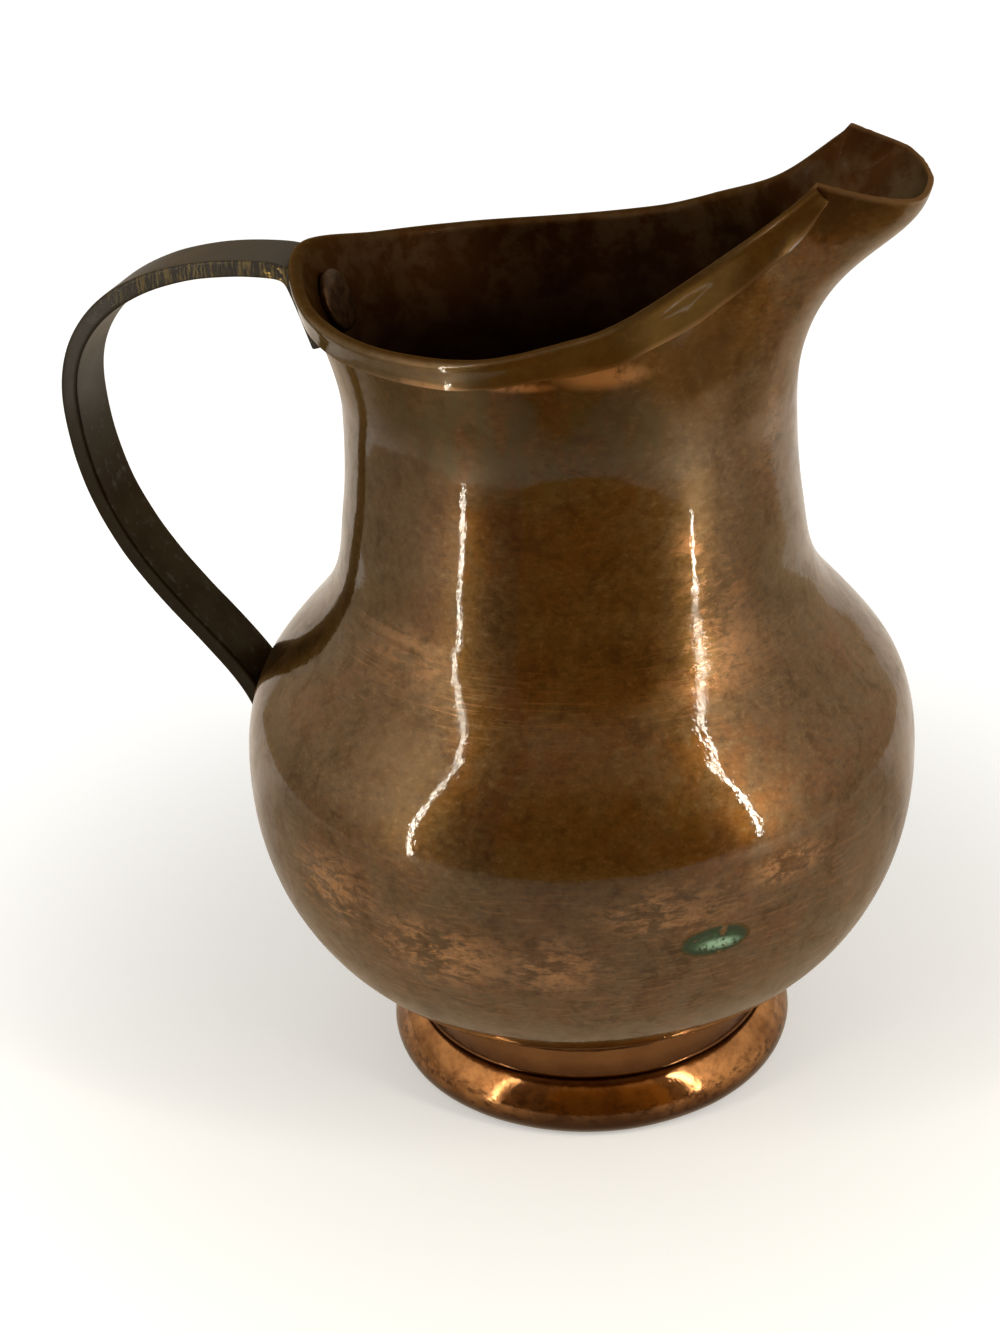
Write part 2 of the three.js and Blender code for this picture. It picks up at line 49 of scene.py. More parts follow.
# The body, from the frame
bowl_low, bowl_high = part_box("bowl")
foot_low, foot_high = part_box("foot_ring")
AXIS = (bowl_low.x + bowl_high.x) / 2
BELLY_RADIUS = (bowl_high.x - bowl_low.x) / 2
BOTTOM_HEIGHT = bowl_low.z
FOOT_RADIUS = (foot_high.x - foot_low.x) / 2

# Sheet and fits
SHEET = 0.001
FIT = 0.0003

# Body outline, outer face
BOTTOM_REACH = 0.0432
BELLY_HEIGHT = 0.065
FULLNESS_BELOW = 0.0304
FULLNESS_ABOVE = 0.0324
WAIST_RADIUS = 0.04055
WAIST_HEIGHT = 0.136
WAIST_SLIMNESS = 0.0565
SEAM_HEIGHT = 0.104
SEAM_LAP = 0.005
DRAWN_IN = 0.0007
DRAWN_IN_HEIGHT = 0.1035
DRAWN_IN_REACH = 0.013
SWELLING = 0.0004
SWELLING_HEIGHT = 0.0915
SWELLING_REACH = 0.009

# Fold of the rim
HEM_HEIGHT = 0.0047
HEM_GAP = 0.0005
HEM_LIFT = 0.0003
HEM_LIFT_AT_SPOUT = 0.0014
HEM_END_SHARE = 0.42
FOLD_RADIUS = HEM_GAP / 2 + SHEET
FOLD_DRAWN_IN = 0.06
FOLD_OPEN_UNTIL = 0.5
HEM_EXTRA_AT_THROAT = 0.0019
HEM_THROAT = 0.24

# Foot ring
BULGE_HEIGHT = 0.0042
SEAT_RADIUS = 0.0354
SEAT_WIDTH = 0.0034
COLLAR_RADIUS = 0.0346
COLLAR_HEIGHT = 0.012
FLANGE_PULL = 0.0030
SHELF_REACH = 0.0005
SHELF_HEIGHT = 0.0111
SHELF_PULL = 0.0010
FOOT_WALL = 0.0018
SOLDER_LEG = 0.0022

# Handle bar and rivet
BAR_WIDTH = 0.0126
BAR_THICKNESS = 0.0032
BAR_EASE = 0.0005
HANDLE_REACH = 0.0962
OUTER_HEIGHT = 0.1302
CREST_REACH = 0.0555
CREST_DROP = 0.0016
CREST_PULL = 0.020
OUTER_PULL_UP = 0.019
OUTER_PULL_DOWN = 0.0339
TAB_DROP = 0.0168
BEND_DROP = 0.0073
LOWER_END_HEIGHT = 0.0695
LOWER_END_SLANT = math.radians(20)
LOWER_END_PULL = 0.016
RIVET_DROP = 0.0109
RIVET_SHANK = 0.0022
RIVET_OUTER_HEAD = 0.0036
RIVET_OUTER_RISE = 0.0013
RIVET_INNER_HEAD = 0.0057
RIVET_INNER_RISE = 0.0012

# Rim and lip, from the back of the neck round one side to the tip of the spout. x counts from
# the bowl's axis. x, y, z: top of the edge. turn: where its upright starts on the waist circle,
# in degrees. lean: outward per unit of height. low, high: how far the ends' directions reach.
Station = namedtuple("Station", "x y z turn lean_x lean_y low high")
RIM_BACK = Station(-0.0484, 0, 0.1613, 180, -0.45, 0, 0.005, 0.008)
RIM_BACK_QUARTER = Station(-0.0407, 0.0198, 0.1576, 154, -0.28, 0.12, 0.006, 0.008)
RIM_QUARTER = Station(-0.0253, 0.0335, 0.1561, 127, -0.08, 0.06, 0.007, 0.007)
RIM_SIDE = Station(-0.0058, 0.0394, 0.1566, 98, 0, 0.02, 0.008, 0.007)
RIM_FRONT_QUARTER = Station(0.0090, 0.0371, 0.1595, 77, 0.02, 0.05, 0.009, 0.008)
RIM_SHOULDER = Station(0.0198, 0.0339, 0.1633, 60, 0.08, 0.06, 0.010, 0.009)
RIM_THROAT = Station(0.0343, 0.0215, 0.1713, 40, 0.24, -0.02, 0.014, 0.010)
LIP_CORNER = Station(0.0472, 0.0184, 0.1813, 27, 0.6, 0.1, 0.022, 0.012)
LIP_QUARTER = Station(0.0573, 0.0158, 0.1784, 17, 0.7, 0.34, 0.026, 0.012)
LIP_FRONT = Station(0.0620, 0.0083, 0.1764, 8, 0.4, 0.15, 0.028, 0.011)
LIP_TIP = Station(0.0631, 0, 0.1761, 0, 0.22, 0, 0.0275, 0.0107)

# Fineness of the meshes
OUTLINE_STEPS = 240
ROUND_STEPS = 288
RIVET_ROUND_STEPS = 72
LIP_SPAN_STEPS = 14
CORNER_SPAN_STEPS = 36
RIM_SPAN_STEPS = 18


# Numbers and curves

def blend(low, high, share):
    return low + (high - low) * share


def eased(share):
    share = min(max(share, 0), 1)
    return share * share * (3 - 2 * share)


def bezier(start, start_pull, end_pull, end, steps):
    points = (Vector(point) for point in (start, start_pull, end_pull, end))
    return interpolate_bezier(*points, steps + 1)


LOWER_OUTLINE = bezier(
    (0, BOTTOM_HEIGHT), (BOTTOM_REACH, BOTTOM_HEIGHT),
    (BELLY_RADIUS, BELLY_HEIGHT - FULLNESS_BELOW), (BELLY_RADIUS, BELLY_HEIGHT), OUTLINE_STEPS,
)
UPPER_OUTLINE = bezier(
    (BELLY_RADIUS, BELLY_HEIGHT), (BELLY_RADIUS, BELLY_HEIGHT + FULLNESS_ABOVE),
    (WAIST_RADIUS, WAIST_HEIGHT - WAIST_SLIMNESS), (WAIST_RADIUS, WAIST_HEIGHT), OUTLINE_STEPS,
)
for point in UPPER_OUTLINE:
    point.x -= DRAWN_IN * (1 - eased(abs(point.y - DRAWN_IN_HEIGHT) / DRAWN_IN_REACH))
    point.x += SWELLING * (1 - eased(abs(point.y - SWELLING_HEIGHT) / SWELLING_REACH))
BODY_OUTLINE = LOWER_OUTLINE + UPPER_OUTLINE[1:]


def point_at(line, axis, value):
    """Where a line that rises or falls steadily along one of its axes reaches a value of it."""
    for before, after in zip(line, line[1:]):
        if min(before[axis], after[axis]) <= value <= max(before[axis], after[axis]):
            return before.lerp(after, (value - before[axis]) / (after[axis] - before[axis]))
    return line[-1].copy()


def body_radius(height):
    return point_at(BODY_OUTLINE, 1, height).x


def bowl_underside(radius):
    return point_at(LOWER_OUTLINE, 0, radius).y


def around(angle, radius, height):
    """A point round the bowl's axis. Degrees, 0 towards the spout, -90 towards the viewer."""
    turn = math.radians(angle)
    return Vector((AXIS + radius * math.cos(turn), radius * math.sin(turn), height))


# Handwork: the unevenness of the surfaces. Each kind of swell has its depth, its size and its place
# in the noise. The pieces of the body share theirs. The depths for the hem's drop, the seam and the
# bar's solder are shares of what they change.
BODY_SWELLS = [
    (0.00011, 0.024, Vector((3.1, 0.7, 5.2))),
    (0.00005, 0.011, Vector((8.4, 2.2, 1.9))),
    (0.000016, 0.0052, Vector((1.3, 9.1, 4.4))),
]
BAR_SWELLS = [(0.00012, 0.018, Vector()), (0.00005, 0.006, Vector())]
SOLDER_SWELLS = [(0.0002, 0.0035, Vector()), (0.0002, 0.012, Vector())]
RIVET_SWELLS = [(0.0001, 0.0025, Vector())]
HEM_DROP_SWELLS = [(0.10, 0.013, Vector()), (0.06, 0.0045, Vector())]
HEM_LIFT_SWELLS = [(0.0001, 0.008, Vector((4, 4, 4)))]
SEAM_SWELLS = [(0.5, 0.004, Vector())]
BAR_SOLDER_SWELLS = [(0.25, 1 / 2.2, Vector()), (0.12, 1 / 6, Vector((0, 0, 6)))]


def unevenness(place, swells=BODY_SWELLS):
    return sum(depth * noise.noise(place / size + shift) for depth, size, shift in swells)


def make_uneven(bm):
    bm.normal_update()
    for vert in bm.verts:
        vert.co += vert.normal * unevenness(vert.co)


# Meshes

def spin_outline(bm, outline, steps=ROUND_STEPS):
    """Spins an outline of radius and height round the bowl's axis."""
    corners = [bm.verts.new((AXIS + radius, 0, height)) for radius, height in outline]
    edges = [bm.edges.new(pair) for pair in zip(corners, corners[1:])]
    bmesh.ops.spin(
        bm, geom=corners + edges, cent=(AXIS, 0, 0), axis=(0, 0, 1), angle=math.tau, steps=steps,
        use_merge=True,
    )
    bmesh.ops.remove_doubles(bm, verts=bm.verts[:], dist=1e-6)
    bmesh.ops.recalc_face_normals(bm, faces=bm.faces[:])


def face_outward(bm):
    """Turns all faces of an open sheet outward, judged by its lowest ring of faces."""
    bmesh.ops.recalc_face_normals(bm, faces=bm.faces[:])
    lowest = min(bm.faces, key=lambda face: face.calc_center_median().z)
    centre = lowest.calc_center_median()
    if lowest.normal.dot(centre - Vector((AXIS, 0, centre.z))) < 0:
        bmesh.ops.reverse_faces(bm, faces=bm.faces[:])


def thicken_sheet(bm):
    """Gives the sheet its thickness and marks the new face, which is the inside of the pitcher."""
    bm.verts.layers.float.new("inside")
    outer = set(bm.verts)
    bmesh.ops.solidify(bm, geom=bm.faces[:], thickness=SHEET)
    inside_layer = bm.verts.layers.float["inside"]
    fold_layer = bm.verts.layers.float.get("fold")
    for vert in bm.verts:
        if vert not in outer:
            vert[inside_layer] = 1 - (vert[fold_layer] if fold_layer else 0)


SHARP_FROM = math.radians(38)


def finish_piece(bm, name, node, material):
    mesh = bpy.data.meshes.new(name)
    bm.to_mesh(mesh)
    bm.free()
    mesh.shade_smooth()
    mesh.set_sharp_from_angle(angle=SHARP_FROM)
    mesh.materials.append(material)
    thing = bpy.data.objects.new(name, mesh)
    bpy.context.scene.collection.objects.link(thing)
    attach(thing, "root")
    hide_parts(node)


# Bowl

DENT_ANGLE = -54.4
DENT_HEIGHT = 0.058
DENT_HALF_WIDTH = 0.0062
DENT_HALF_HEIGHT = 0.0026
DENT_DEPTH = 0.0006
DENT_RIM = 1.3
DENT_SHEAR = 0.5
DENT_TILT = 0.22


def dent_depth(place):
    """How deep the small slanting oval dent is at a point of the belly."""
    angle = math.atan2(place.y, place.x - AXIS) - math.radians(DENT_ANGLE)
    across = angle * BELLY_RADIUS
    up = place.z - DENT_HEIGHT
    off = math.hypot(
        (across + up * DENT_SHEAR) / DENT_HALF_WIDTH, (up - across * DENT_TILT) / DENT_HALF_HEIGHT,
    )
    return DENT_DEPTH * (1 - eased(off / DENT_RIM))


EDGE_BELOW_SEAM = 0.001
LAST_BELOW_SEAM = 0.0016
TUCK_STEPS = 5


def make_bowl(material):
    bm = bmesh.new()
    upper = [point for point in UPPER_OUTLINE if point.y < SEAM_HEIGHT - LAST_BELOW_SEAM]
    outline = [tuple(point) for point in LOWER_OUTLINE[:-1:4] + upper[::3]]
    outline.append((body_radius(SEAM_HEIGHT - EDGE_BELOW_SEAM), SEAM_HEIGHT - EDGE_BELOW_SEAM))
    for step in range(TUCK_STEPS + 1):
        height = blend(SEAM_HEIGHT, SEAM_HEIGHT + SEAM_LAP, step / TUCK_STEPS)
        outline.append((body_radius(height) - SHEET - FIT, height - FIT))
    spin_outline(bm, outline)
    make_uneven(bm)
    for vert in bm.verts:
        vert.co -= vert.normal * dent_depth(vert.co)
    thicken_sheet(bm)
    finish_piece(bm, "copper_bowl", "bowl", material)


# Neck and spout

def mirrored(station, full_turn):
    return station._replace(y=-station.y, lean_y=-station.lean_y, turn=full_turn - station.turn)


def beyond(end, before):
    return Station(*(2 * last - previous for last, previous in zip(end, before)))


def between(stations, share):
    """A smooth run through four neighbours, from the second to the third."""
    values = []
    for a, b, c, d in zip(*stations):
        leave = (c - a) / 2
        arrive = (d - b) / 2
        values.append(
            b + leave * share + (3 * (c - b) - 2 * leave - arrive) * share ** 2
            + (2 * (b - c) + leave + arrive) * share ** 3
        )
    return Station(*values)


def spread(run, before, after, steps_of_span):
    line = [before, *run, after]
    return [
        between(line[span:span + 4], step / steps_of_span(span))
        for span in range(len(run) - 1)
        for step in range(steps_of_span(span))
    ]


LIP_RUN = [LIP_TIP, LIP_FRONT, LIP_QUARTER, LIP_CORNER]
RIM_RUN = [
    LIP_CORNER, RIM_THROAT, RIM_SHOULDER, RIM_FRONT_QUARTER,
    RIM_SIDE, RIM_QUARTER, RIM_BACK_QUARTER, RIM_BACK,
]
LIP_STATIONS = spread(
    LIP_RUN, mirrored(LIP_FRONT, 0), beyond(LIP_CORNER, LIP_QUARTER), lambda span: LIP_SPAN_STEPS,
)
RIM_STATIONS = spread(
    RIM_RUN, beyond(LIP_CORNER, RIM_THROAT), mirrored(RIM_BACK_QUARTER, 360),
    lambda span: RIM_SPAN_STEPS if span else CORNER_SPAN_STEPS,
)
HALF_STATIONS = LIP_STATIONS + RIM_STATIONS + [RIM_BACK]
STATIONS = HALF_STATIONS + [mirrored(station, 360) for station in HALF_STATIONS[-2:0:-1]]
CORNER = len(LIP_STATIONS)
FAR_CORNER = len(STATIONS) - CORNER
HEM_START = CORNER + 1
HEM_END = len(STATIONS) - HEM_START


def edge_point(number):
    station = STATIONS[number % len(STATIONS)]
    return Vector((AXIS + station.x, station.y, station.z))


def has_hem(number):
    return HEM_START <= number <= HEM_END


def along_rim():
    """How far along the fold each station lies from the nearer corner: 0 there, 1 at the back."""
    lengths = [0.0]
    for number in range(CORNER, len(HALF_STATIONS) - 1):
        lengths.append(lengths[-1] + (edge_point(number + 1) - edge_point(number)).length)
    return [length / lengths[-1] for length in lengths]


RIM_SHARES = along_rim()


BESIDE_BAR = 0.002
DROP_UNDER_BAR = 0.0012


def hem_form(number):
    """How far the fold comes down at a station, and how far its raw edge stands off the neck."""
    along = RIM_SHARES[min(number, len(STATIONS) - number) - CORNER]
    near_spout = 1 - eased((along - FOLD_DRAWN_IN) / (FOLD_OPEN_UNTIL - FOLD_DRAWN_IN))
    from_corner = eased((along + FOLD_DRAWN_IN) / (2 * FOLD_DRAWN_IN)) * 2 - 1
    drop = (HEM_HEIGHT - FOLD_RADIUS) * blend(HEM_END_SHARE, 1, from_corner)
    lift = blend(HEM_LIFT, HEM_LIFT_AT_SPOUT, near_spout) * from_corner
    drop += HEM_EXTRA_AT_THROAT * (1 - eased(abs(along - HEM_THROAT) / HEM_THROAT))
    place = edge_point(number)
    drop *= 1 + unevenness(place, HEM_DROP_SWELLS)
    lift += unevenness(place, HEM_LIFT_SWELLS)
    over_bar = 1 - eased((abs(place.y) - BAR_WIDTH / 2) / BESIDE_BAR) if place.x < AXIS else 0
    drop = blend(drop, min(drop, DROP_UNDER_BAR), over_bar)
    return drop, lift


def edge_direction(number):
    """Along the edge. Neither the fold nor the lip looks past a corner of the lip."""
    before, after = number - 1, number + 1
    if has_hem(number):
        before, after = max(before, CORNER), min(after, FAR_CORNER)
    if number == CORNER:
        after = number
    if number == FAR_CORNER:
        before = number
    return (edge_point(after) - edge_point(before)).normalized()


BODY_ROWS = 26
UPRIGHT_ROWS = 46
UPRIGHT_FINENESS = 460


def neck_column(number):
    """Points of the neck's outer face at a station, from the seam up to the edge or the fold."""
    station = STATIONS[number]
    column = []
    for row in range(BODY_ROWS):
        height = blend(SEAM_HEIGHT, WAIST_HEIGHT, row / BODY_ROWS)
        column.append(around(station.turn, ROW_RADII[row], height))
    foot = around(station.turn, WAIST_RADIUS, WAIST_HEIGHT)
    edge = edge_point(number)
    lean = Vector((station.lean_x, station.lean_y, 1)).normalized()
    foot_pull = foot + Vector((0, 0, station.low))
    upright = bezier(foot, foot_pull, edge - lean * station.high, edge, UPRIGHT_FINENESS)
    along = edge_direction(number)
    square = (lean - along * lean.dot(along)).normalized()
    hidden = FOLD_RADIUS if has_hem(number) else 0
    shown = [point for point in upright if (edge - point).dot(square) >= hidden]
    column.extend(shown[row * (len(shown) - 1) // UPRIGHT_ROWS] for row in range(UPRIGHT_ROWS + 1))
    return column


ROW_RADII = [body_radius(blend(SEAM_HEIGHT, WAIST_HEIGHT, row / BODY_ROWS)) for row in range(BODY_ROWS)]
COLUMNS = [neck_column(number) for number in range(len(STATIONS))]

FOLD_ARC_STEPS = 6
FLAP_STEPS = 6


def hem_column(number):
    """Points of the fold's hidden face at a station, from the top of the wall to the raw edge."""
    drop, lift = hem_form(number)
    along = edge_direction(number)
    column = COLUMNS[number]
    outward = along.cross(column[-1] - column[-2]).normalized()
    up = outward.cross(along)
    under_edge = edge_point(number) - up * FOLD_RADIUS
    middle = HEM_GAP / 2
    places = []
    for step in range(1, FOLD_ARC_STEPS + 1):
        angle = math.pi * (1 - step / FOLD_ARC_STEPS)
        places.append((middle + middle * math.cos(angle), middle * math.sin(angle)))
    for step in range(1, FLAP_STEPS + 1):
        share = step / FLAP_STEPS
        places.append((HEM_GAP + lift * share ** 2, -drop * share))
    line = []
    for step, (away, rise) in enumerate(places, 1):
        start = column[-1].lerp(under_edge, min(2 * step / FOLD_ARC_STEPS, 1))
        line.append(start + outward * away + up * rise)
    return line


def grow_edges(bm, edges):
    """Extrudes a row of edges. Gives the new corners and the new row."""
    grown = bmesh.ops.extrude_edge_only(bm, edges=edges)["geom"]
    corners = {part for part in grown if isinstance(part, bmesh.types.BMVert)}
    row = [
        part for part in grown
        if isinstance(part, bmesh.types.BMEdge) and all(vert in corners for vert in part.verts)
    ]
    return corners, row


def grow_row(bm, edges, place_of, marks):
    """Extrudes a row of edges and puts each new corner at its station's place."""
    station_layer = bm.verts.layers.int["station"]
    corners, row = grow_edges(bm, edges)
    for corner in corners:
        corner.co = place_of(corner[station_layer])
        for name, value in marks.items():
            corner[bm.verts.layers.float[name]] = value
    return row


WAIST_OVAL = 0.06
OVAL_FROM = 0.1095
OVAL_UNTIL = 0.158


def narrow_waist(bm):
    """The waist is a little narrower across than lengthways."""
    for vert in bm.verts:
        rising = eased((vert.co.z - OVAL_FROM) / (WAIST_HEIGHT - OVAL_FROM))
        falling = eased((OVAL_UNTIL - vert.co.z) / (OVAL_UNTIL - WAIST_HEIGHT))
        vert.co.y *= 1 - WAIST_OVAL * rising * falling


def make_neck(material):
    bm = bmesh.new()
    bm.verts.layers.int.new("station")
    bm.verts.layers.float.new("bare_edge")
    bm.verts.layers.float.new("fold")
    station_layer = bm.verts.layers.int["station"]
    edge_layer = bm.verts.layers.float["bare_edge"]
    ring = bmesh.ops.create_circle(bm, segments=len(STATIONS), radius=WAIST_RADIUS)["verts"]
    for number, corner in enumerate(ring):
        corner[station_layer] = number
        corner.co = COLUMNS[number][0]
    edges = bm.edges[:]
    for row in range(1, len(COLUMNS[0])):
        edges = grow_row(bm, edges, lambda number: COLUMNS[number][row], {})
    for vert in {vert for edge in edges for vert in edge.verts}:
        vert[edge_layer] = float(not has_hem(vert[station_layer]))
    hem = {number: hem_column(number) for number in range(HEM_START, HEM_END + 1)}
    edges = [edge for edge in edges if all(has_hem(vert[station_layer]) for vert in edge.verts)]
    for row in range(FOLD_ARC_STEPS + FLAP_STEPS):
        is_raw = row >= FOLD_ARC_STEPS + FLAP_STEPS - 1
        marks = {"bare_edge": float(is_raw), "fold": eased((row + 1) / FOLD_ARC_STEPS)}
        edges = grow_row(bm, edges, lambda number: hem[number][row], marks)
    face_outward(bm)
    narrow_waist(bm)
    make_uneven(bm)
    thicken_sheet(bm)
    finish_piece(bm, "copper_neck", "neck_and_spout", material)


# Seam between bowl and neck: a low ridge that fades in and out round the neck

SEAM_WIDTH = 0.0026
SEAM_RISE = 0.00028
SEAM_PROUD = 0.000012
SEAM_SUNK = 0.00015
SEAM_STEPS = 8
SEAM_SHOWS_AT = -123
SEAM_SHOWS_OVER = 22


def make_seam(material):
    bm = bmesh.new()
    low = SEAM_HEIGHT - SEAM_WIDTH / 2
    heights = [low + SEAM_WIDTH * step / SEAM_STEPS for step in range(SEAM_STEPS + 1)]
    over = [(body_radius(height) + SEAM_PROUD, height) for height in heights]
    under = [(body_radius(height) - SEAM_SUNK, height) for height in reversed(heights)]
    spin_outline(bm, over + under + over[:1])
    ridge_layer = bm.verts.layers.float.new("ridge")
    for vert in bm.verts:
        outward = Vector((vert.co.x - AXIS, vert.co.y, 0)).normalized()
        angle = math.degrees(math.atan2(outward.y, outward.x))
        shows = 1 - eased(abs(angle - SEAM_SHOWS_AT) / SEAM_SHOWS_OVER)
        ridge = math.sin(math.pi * (vert.co.z - low) / SEAM_WIDTH)
        rise = SEAM_RISE * shows * ridge * (1 + unevenness(vert.co, SEAM_SWELLS))
        vert.co += outward * (unevenness(vert.co) + rise)
        vert[ridge_layer] = eased(rise / SEAM_RISE)
    finish_piece(bm, "neck_seam", "shoulder_seam", material)


# Foot ring

def arc(centre, across, up, first, last, steps):
    turns = [math.radians(blend(first, last, step / steps)) for step in range(steps + 1)]
    return [(centre[0] + across * math.cos(turn), centre[1] + up * math.sin(turn)) for turn in turns]


BULGE_STEPS = 12
FLANGE_STEPS = 24
FILLET_STEPS = 6
COLLAR_STEPS = 6
SEAT_FLOOR = 0.0027
FOOT_UNEVEN_FROM = 0.0005
FOOT_UNEVEN_UNTIL = 0.016
FOOT_UNEVENNESS = 1.6
FOOT_SHIFT = Vector((0.2, 0, 0))  # moves the foot to swells of its own


def make_foot(material):
    bm = bmesh.new()
    seat_inner = SEAT_RADIUS - SEAT_WIDTH
    collar_inner = COLLAR_RADIUS - FOOT_WALL
    collar_top = bowl_underside(COLLAR_RADIUS) - FIT
    outline = [(seat_inner, 0)]
    bulge_reach = FOOT_RADIUS - SEAT_RADIUS
    outline += arc((SEAT_RADIUS, BULGE_HEIGHT), bulge_reach, BULGE_HEIGHT, -90, 0, BULGE_STEPS)
    shelf = (COLLAR_RADIUS + SHELF_REACH, SHELF_HEIGHT)
    flange = bezier(
        (FOOT_RADIUS, BULGE_HEIGHT), (FOOT_RADIUS, BULGE_HEIGHT + FLANGE_PULL),
        (shelf[0] + SHELF_PULL, shelf[1]), shelf, FLANGE_STEPS,
    )
    fillet = arc((shelf[0], shelf[1] + SHELF_REACH), SHELF_REACH, SHELF_REACH, 270, 180, FILLET_STEPS)
    outline += [tuple(point) for point in flange[1:]] + fillet[1:]
    for step in range(1, COLLAR_STEPS + 1):
        outline.append((COLLAR_RADIUS, blend(fillet[-1][1], collar_top, step / COLLAR_STEPS)))
    outline += [
        (collar_inner, bowl_underside(collar_inner) - FIT),
        (collar_inner, COLLAR_HEIGHT - FOOT_WALL),
        (seat_inner, SEAT_FLOOR),
        (seat_inner, 0),
    ]
    spin_outline(bm, outline)
    for vert in bm.verts:
        if FOOT_UNEVEN_FROM < vert.co.z < FOOT_UNEVEN_UNTIL:
            outward = Vector((vert.co.x - AXIS, vert.co.y, 0)).normalized()
            vert.co += outward * FOOT_UNEVENNESS * unevenness(vert.co + FOOT_SHIFT)
    finish_piece(bm, "copper_foot", "foot_ring", material)


SOLDER_AIR = 0.0001
SOLDER_STEPS = 8
SOLDER_HOLLOW_OUT = 2.2
SOLDER_HOLLOW_UP = 0.55
SOLDER_SMOOTH_TOP = 0.0004
SOLDER_SAG = 0.6


def make_foot_solder(material):
    """A lumpy hollow fillet in the corner between the collar and the bowl."""
    bm = bmesh.new()
    inside = COLLAR_RADIUS + SOLDER_AIR
    outside = inside + SOLDER_LEG
    under_inside = bowl_underside(inside) - SOLDER_AIR
    under_outside = bowl_underside(outside) - SOLDER_AIR
    foot = under_inside - SOLDER_LEG
    outline = [(inside, foot)]
    for share in (step / SOLDER_STEPS for step in range(1, SOLDER_STEPS + 1)):
        out = inside + SOLDER_LEG * share ** SOLDER_HOLLOW_OUT
        outline.append((out, blend(foot, under_outside, share ** SOLDER_HOLLOW_UP)))
    outline += [(inside, under_inside), (inside, foot)]
    spin_outline(bm, outline)
    if bm.calc_volume(signed=True) < 0:
        bmesh.ops.reverse_faces(bm, faces=bm.faces[:])
    for vert in bm.verts:
        outward = Vector((vert.co.x - AXIS, vert.co.y, 0)).normalized()
        if vert.co.z < under_inside - SOLDER_SMOOTH_TOP:
            vert.co += (outward - Vector((0, 0, SOLDER_SAG))) * unevenness(vert.co, SOLDER_SWELLS)
    finish_piece(bm, "foot_solder_run", "foot_solder", material)


# Handle: the bar's middle line lies in the plane of spout and handle. Its points are the reach
# from the bowl's axis towards the handle, and the height.

BACK_UPRIGHT = [Vector((AXIS - point.x, point.z)) for point in COLUMNS[STATIONS.index(RIM_BACK)][BODY_ROWS:]]


WALL_STEP = 0.0005


def neck_back(height):
    """The outer face at the back of the neck, with the outward direction there."""
    point = point_at(BACK_UPRIGHT, 1, height)
    rise = point_at(BACK_UPRIGHT, 1, height + WALL_STEP) - point_at(BACK_UPRIGHT, 1, height - WALL_STEP)
    return point, Vector((rise.y, -rise.x)).normalized()


def off_wall(height, distance):
    point, outward = neck_back(height)
    return point + outward * distance


TAB_STEPS = 8
BEND_STEPS = 16
ARCH_STEPS = 40
LOWER_STEPS = 60
BEND_RISE = 0.9
BEND_REACH = 0.8


def bar_line():
    off = FIT + BAR_THICKNESS / 2
    top = RIM_BACK.z
    tab = [
        off_wall(blend(top - TAB_DROP, top - BEND_DROP, step / TAB_STEPS), off) for step in range(TAB_STEPS)
    ]
    _, outward = neck_back(top - BEND_DROP)
    start = off_wall(top - BEND_DROP, off)
    crest = Vector((CREST_REACH, top - CREST_DROP - BAR_THICKNESS / 2))
    upward = Vector((-outward.y, outward.x))
    bend = bezier(
        start, start + upward * (crest.y - start.y) * BEND_RISE,
        Vector((crest.x - (crest.x - start.x) * BEND_REACH, crest.y)), crest, BEND_STEPS,
    )
    outer = Vector((HANDLE_REACH - BAR_THICKNESS / 2, OUTER_HEIGHT))
    arch_pull = outer + Vector((0, OUTER_PULL_UP))
    arch = bezier(crest, crest + Vector((CREST_PULL, 0)), arch_pull, outer, ARCH_STEPS)
    inward = Vector((-math.sin(LOWER_END_SLANT), -math.cos(LOWER_END_SLANT)))
    landing = point_at(BODY_OUTLINE, 1, LOWER_END_HEIGHT)
    outer_pull = outer - Vector((0, OUTER_PULL_DOWN))
    lower = bezier(outer, outer_pull, landing - inward * LOWER_END_PULL, landing, LOWER_STEPS)
    return tab + bend[:-1] + arch[:-1] + lower + [landing + inward * LOWER_END_PULL]


def bar_frame(line, number):
    """Where the bar's section stands: local X across the thickness, Y across the width."""
    before, after = line[max(number - 1, 0)], line[min(number + 1, len(line) - 1)]
    along = (after - before).normalized()
    point = line[number]
    forward = Vector((-along.x, 0, along.y))
    across = Vector((0, 1, 0))
    thick = across.cross(forward)
    turn = Matrix((thick, across, forward)).transposed().to_4x4()
    return Matrix.Translation((AXIS - point.x, 0, point.y)) @ turn


BELLY_STEP = 0.001


def bar_landing():
    """Where the middle of the bar meets the belly, and which ways are outward and up there."""
    landing = point_at(BODY_OUTLINE, 1, LOWER_END_HEIGHT)
    above = point_at(BODY_OUTLINE, 1, LOWER_END_HEIGHT + BELLY_STEP)
    slope = above - point_at(BODY_OUTLINE, 1, LOWER_END_HEIGHT - BELLY_STEP)
    outward = Vector((-slope.y, 0, -slope.x)).normalized()
    up = Vector((-slope.x, 0, slope.y)).normalized()
    return Vector((AXIS - landing.x, 0, landing.y)), outward, up


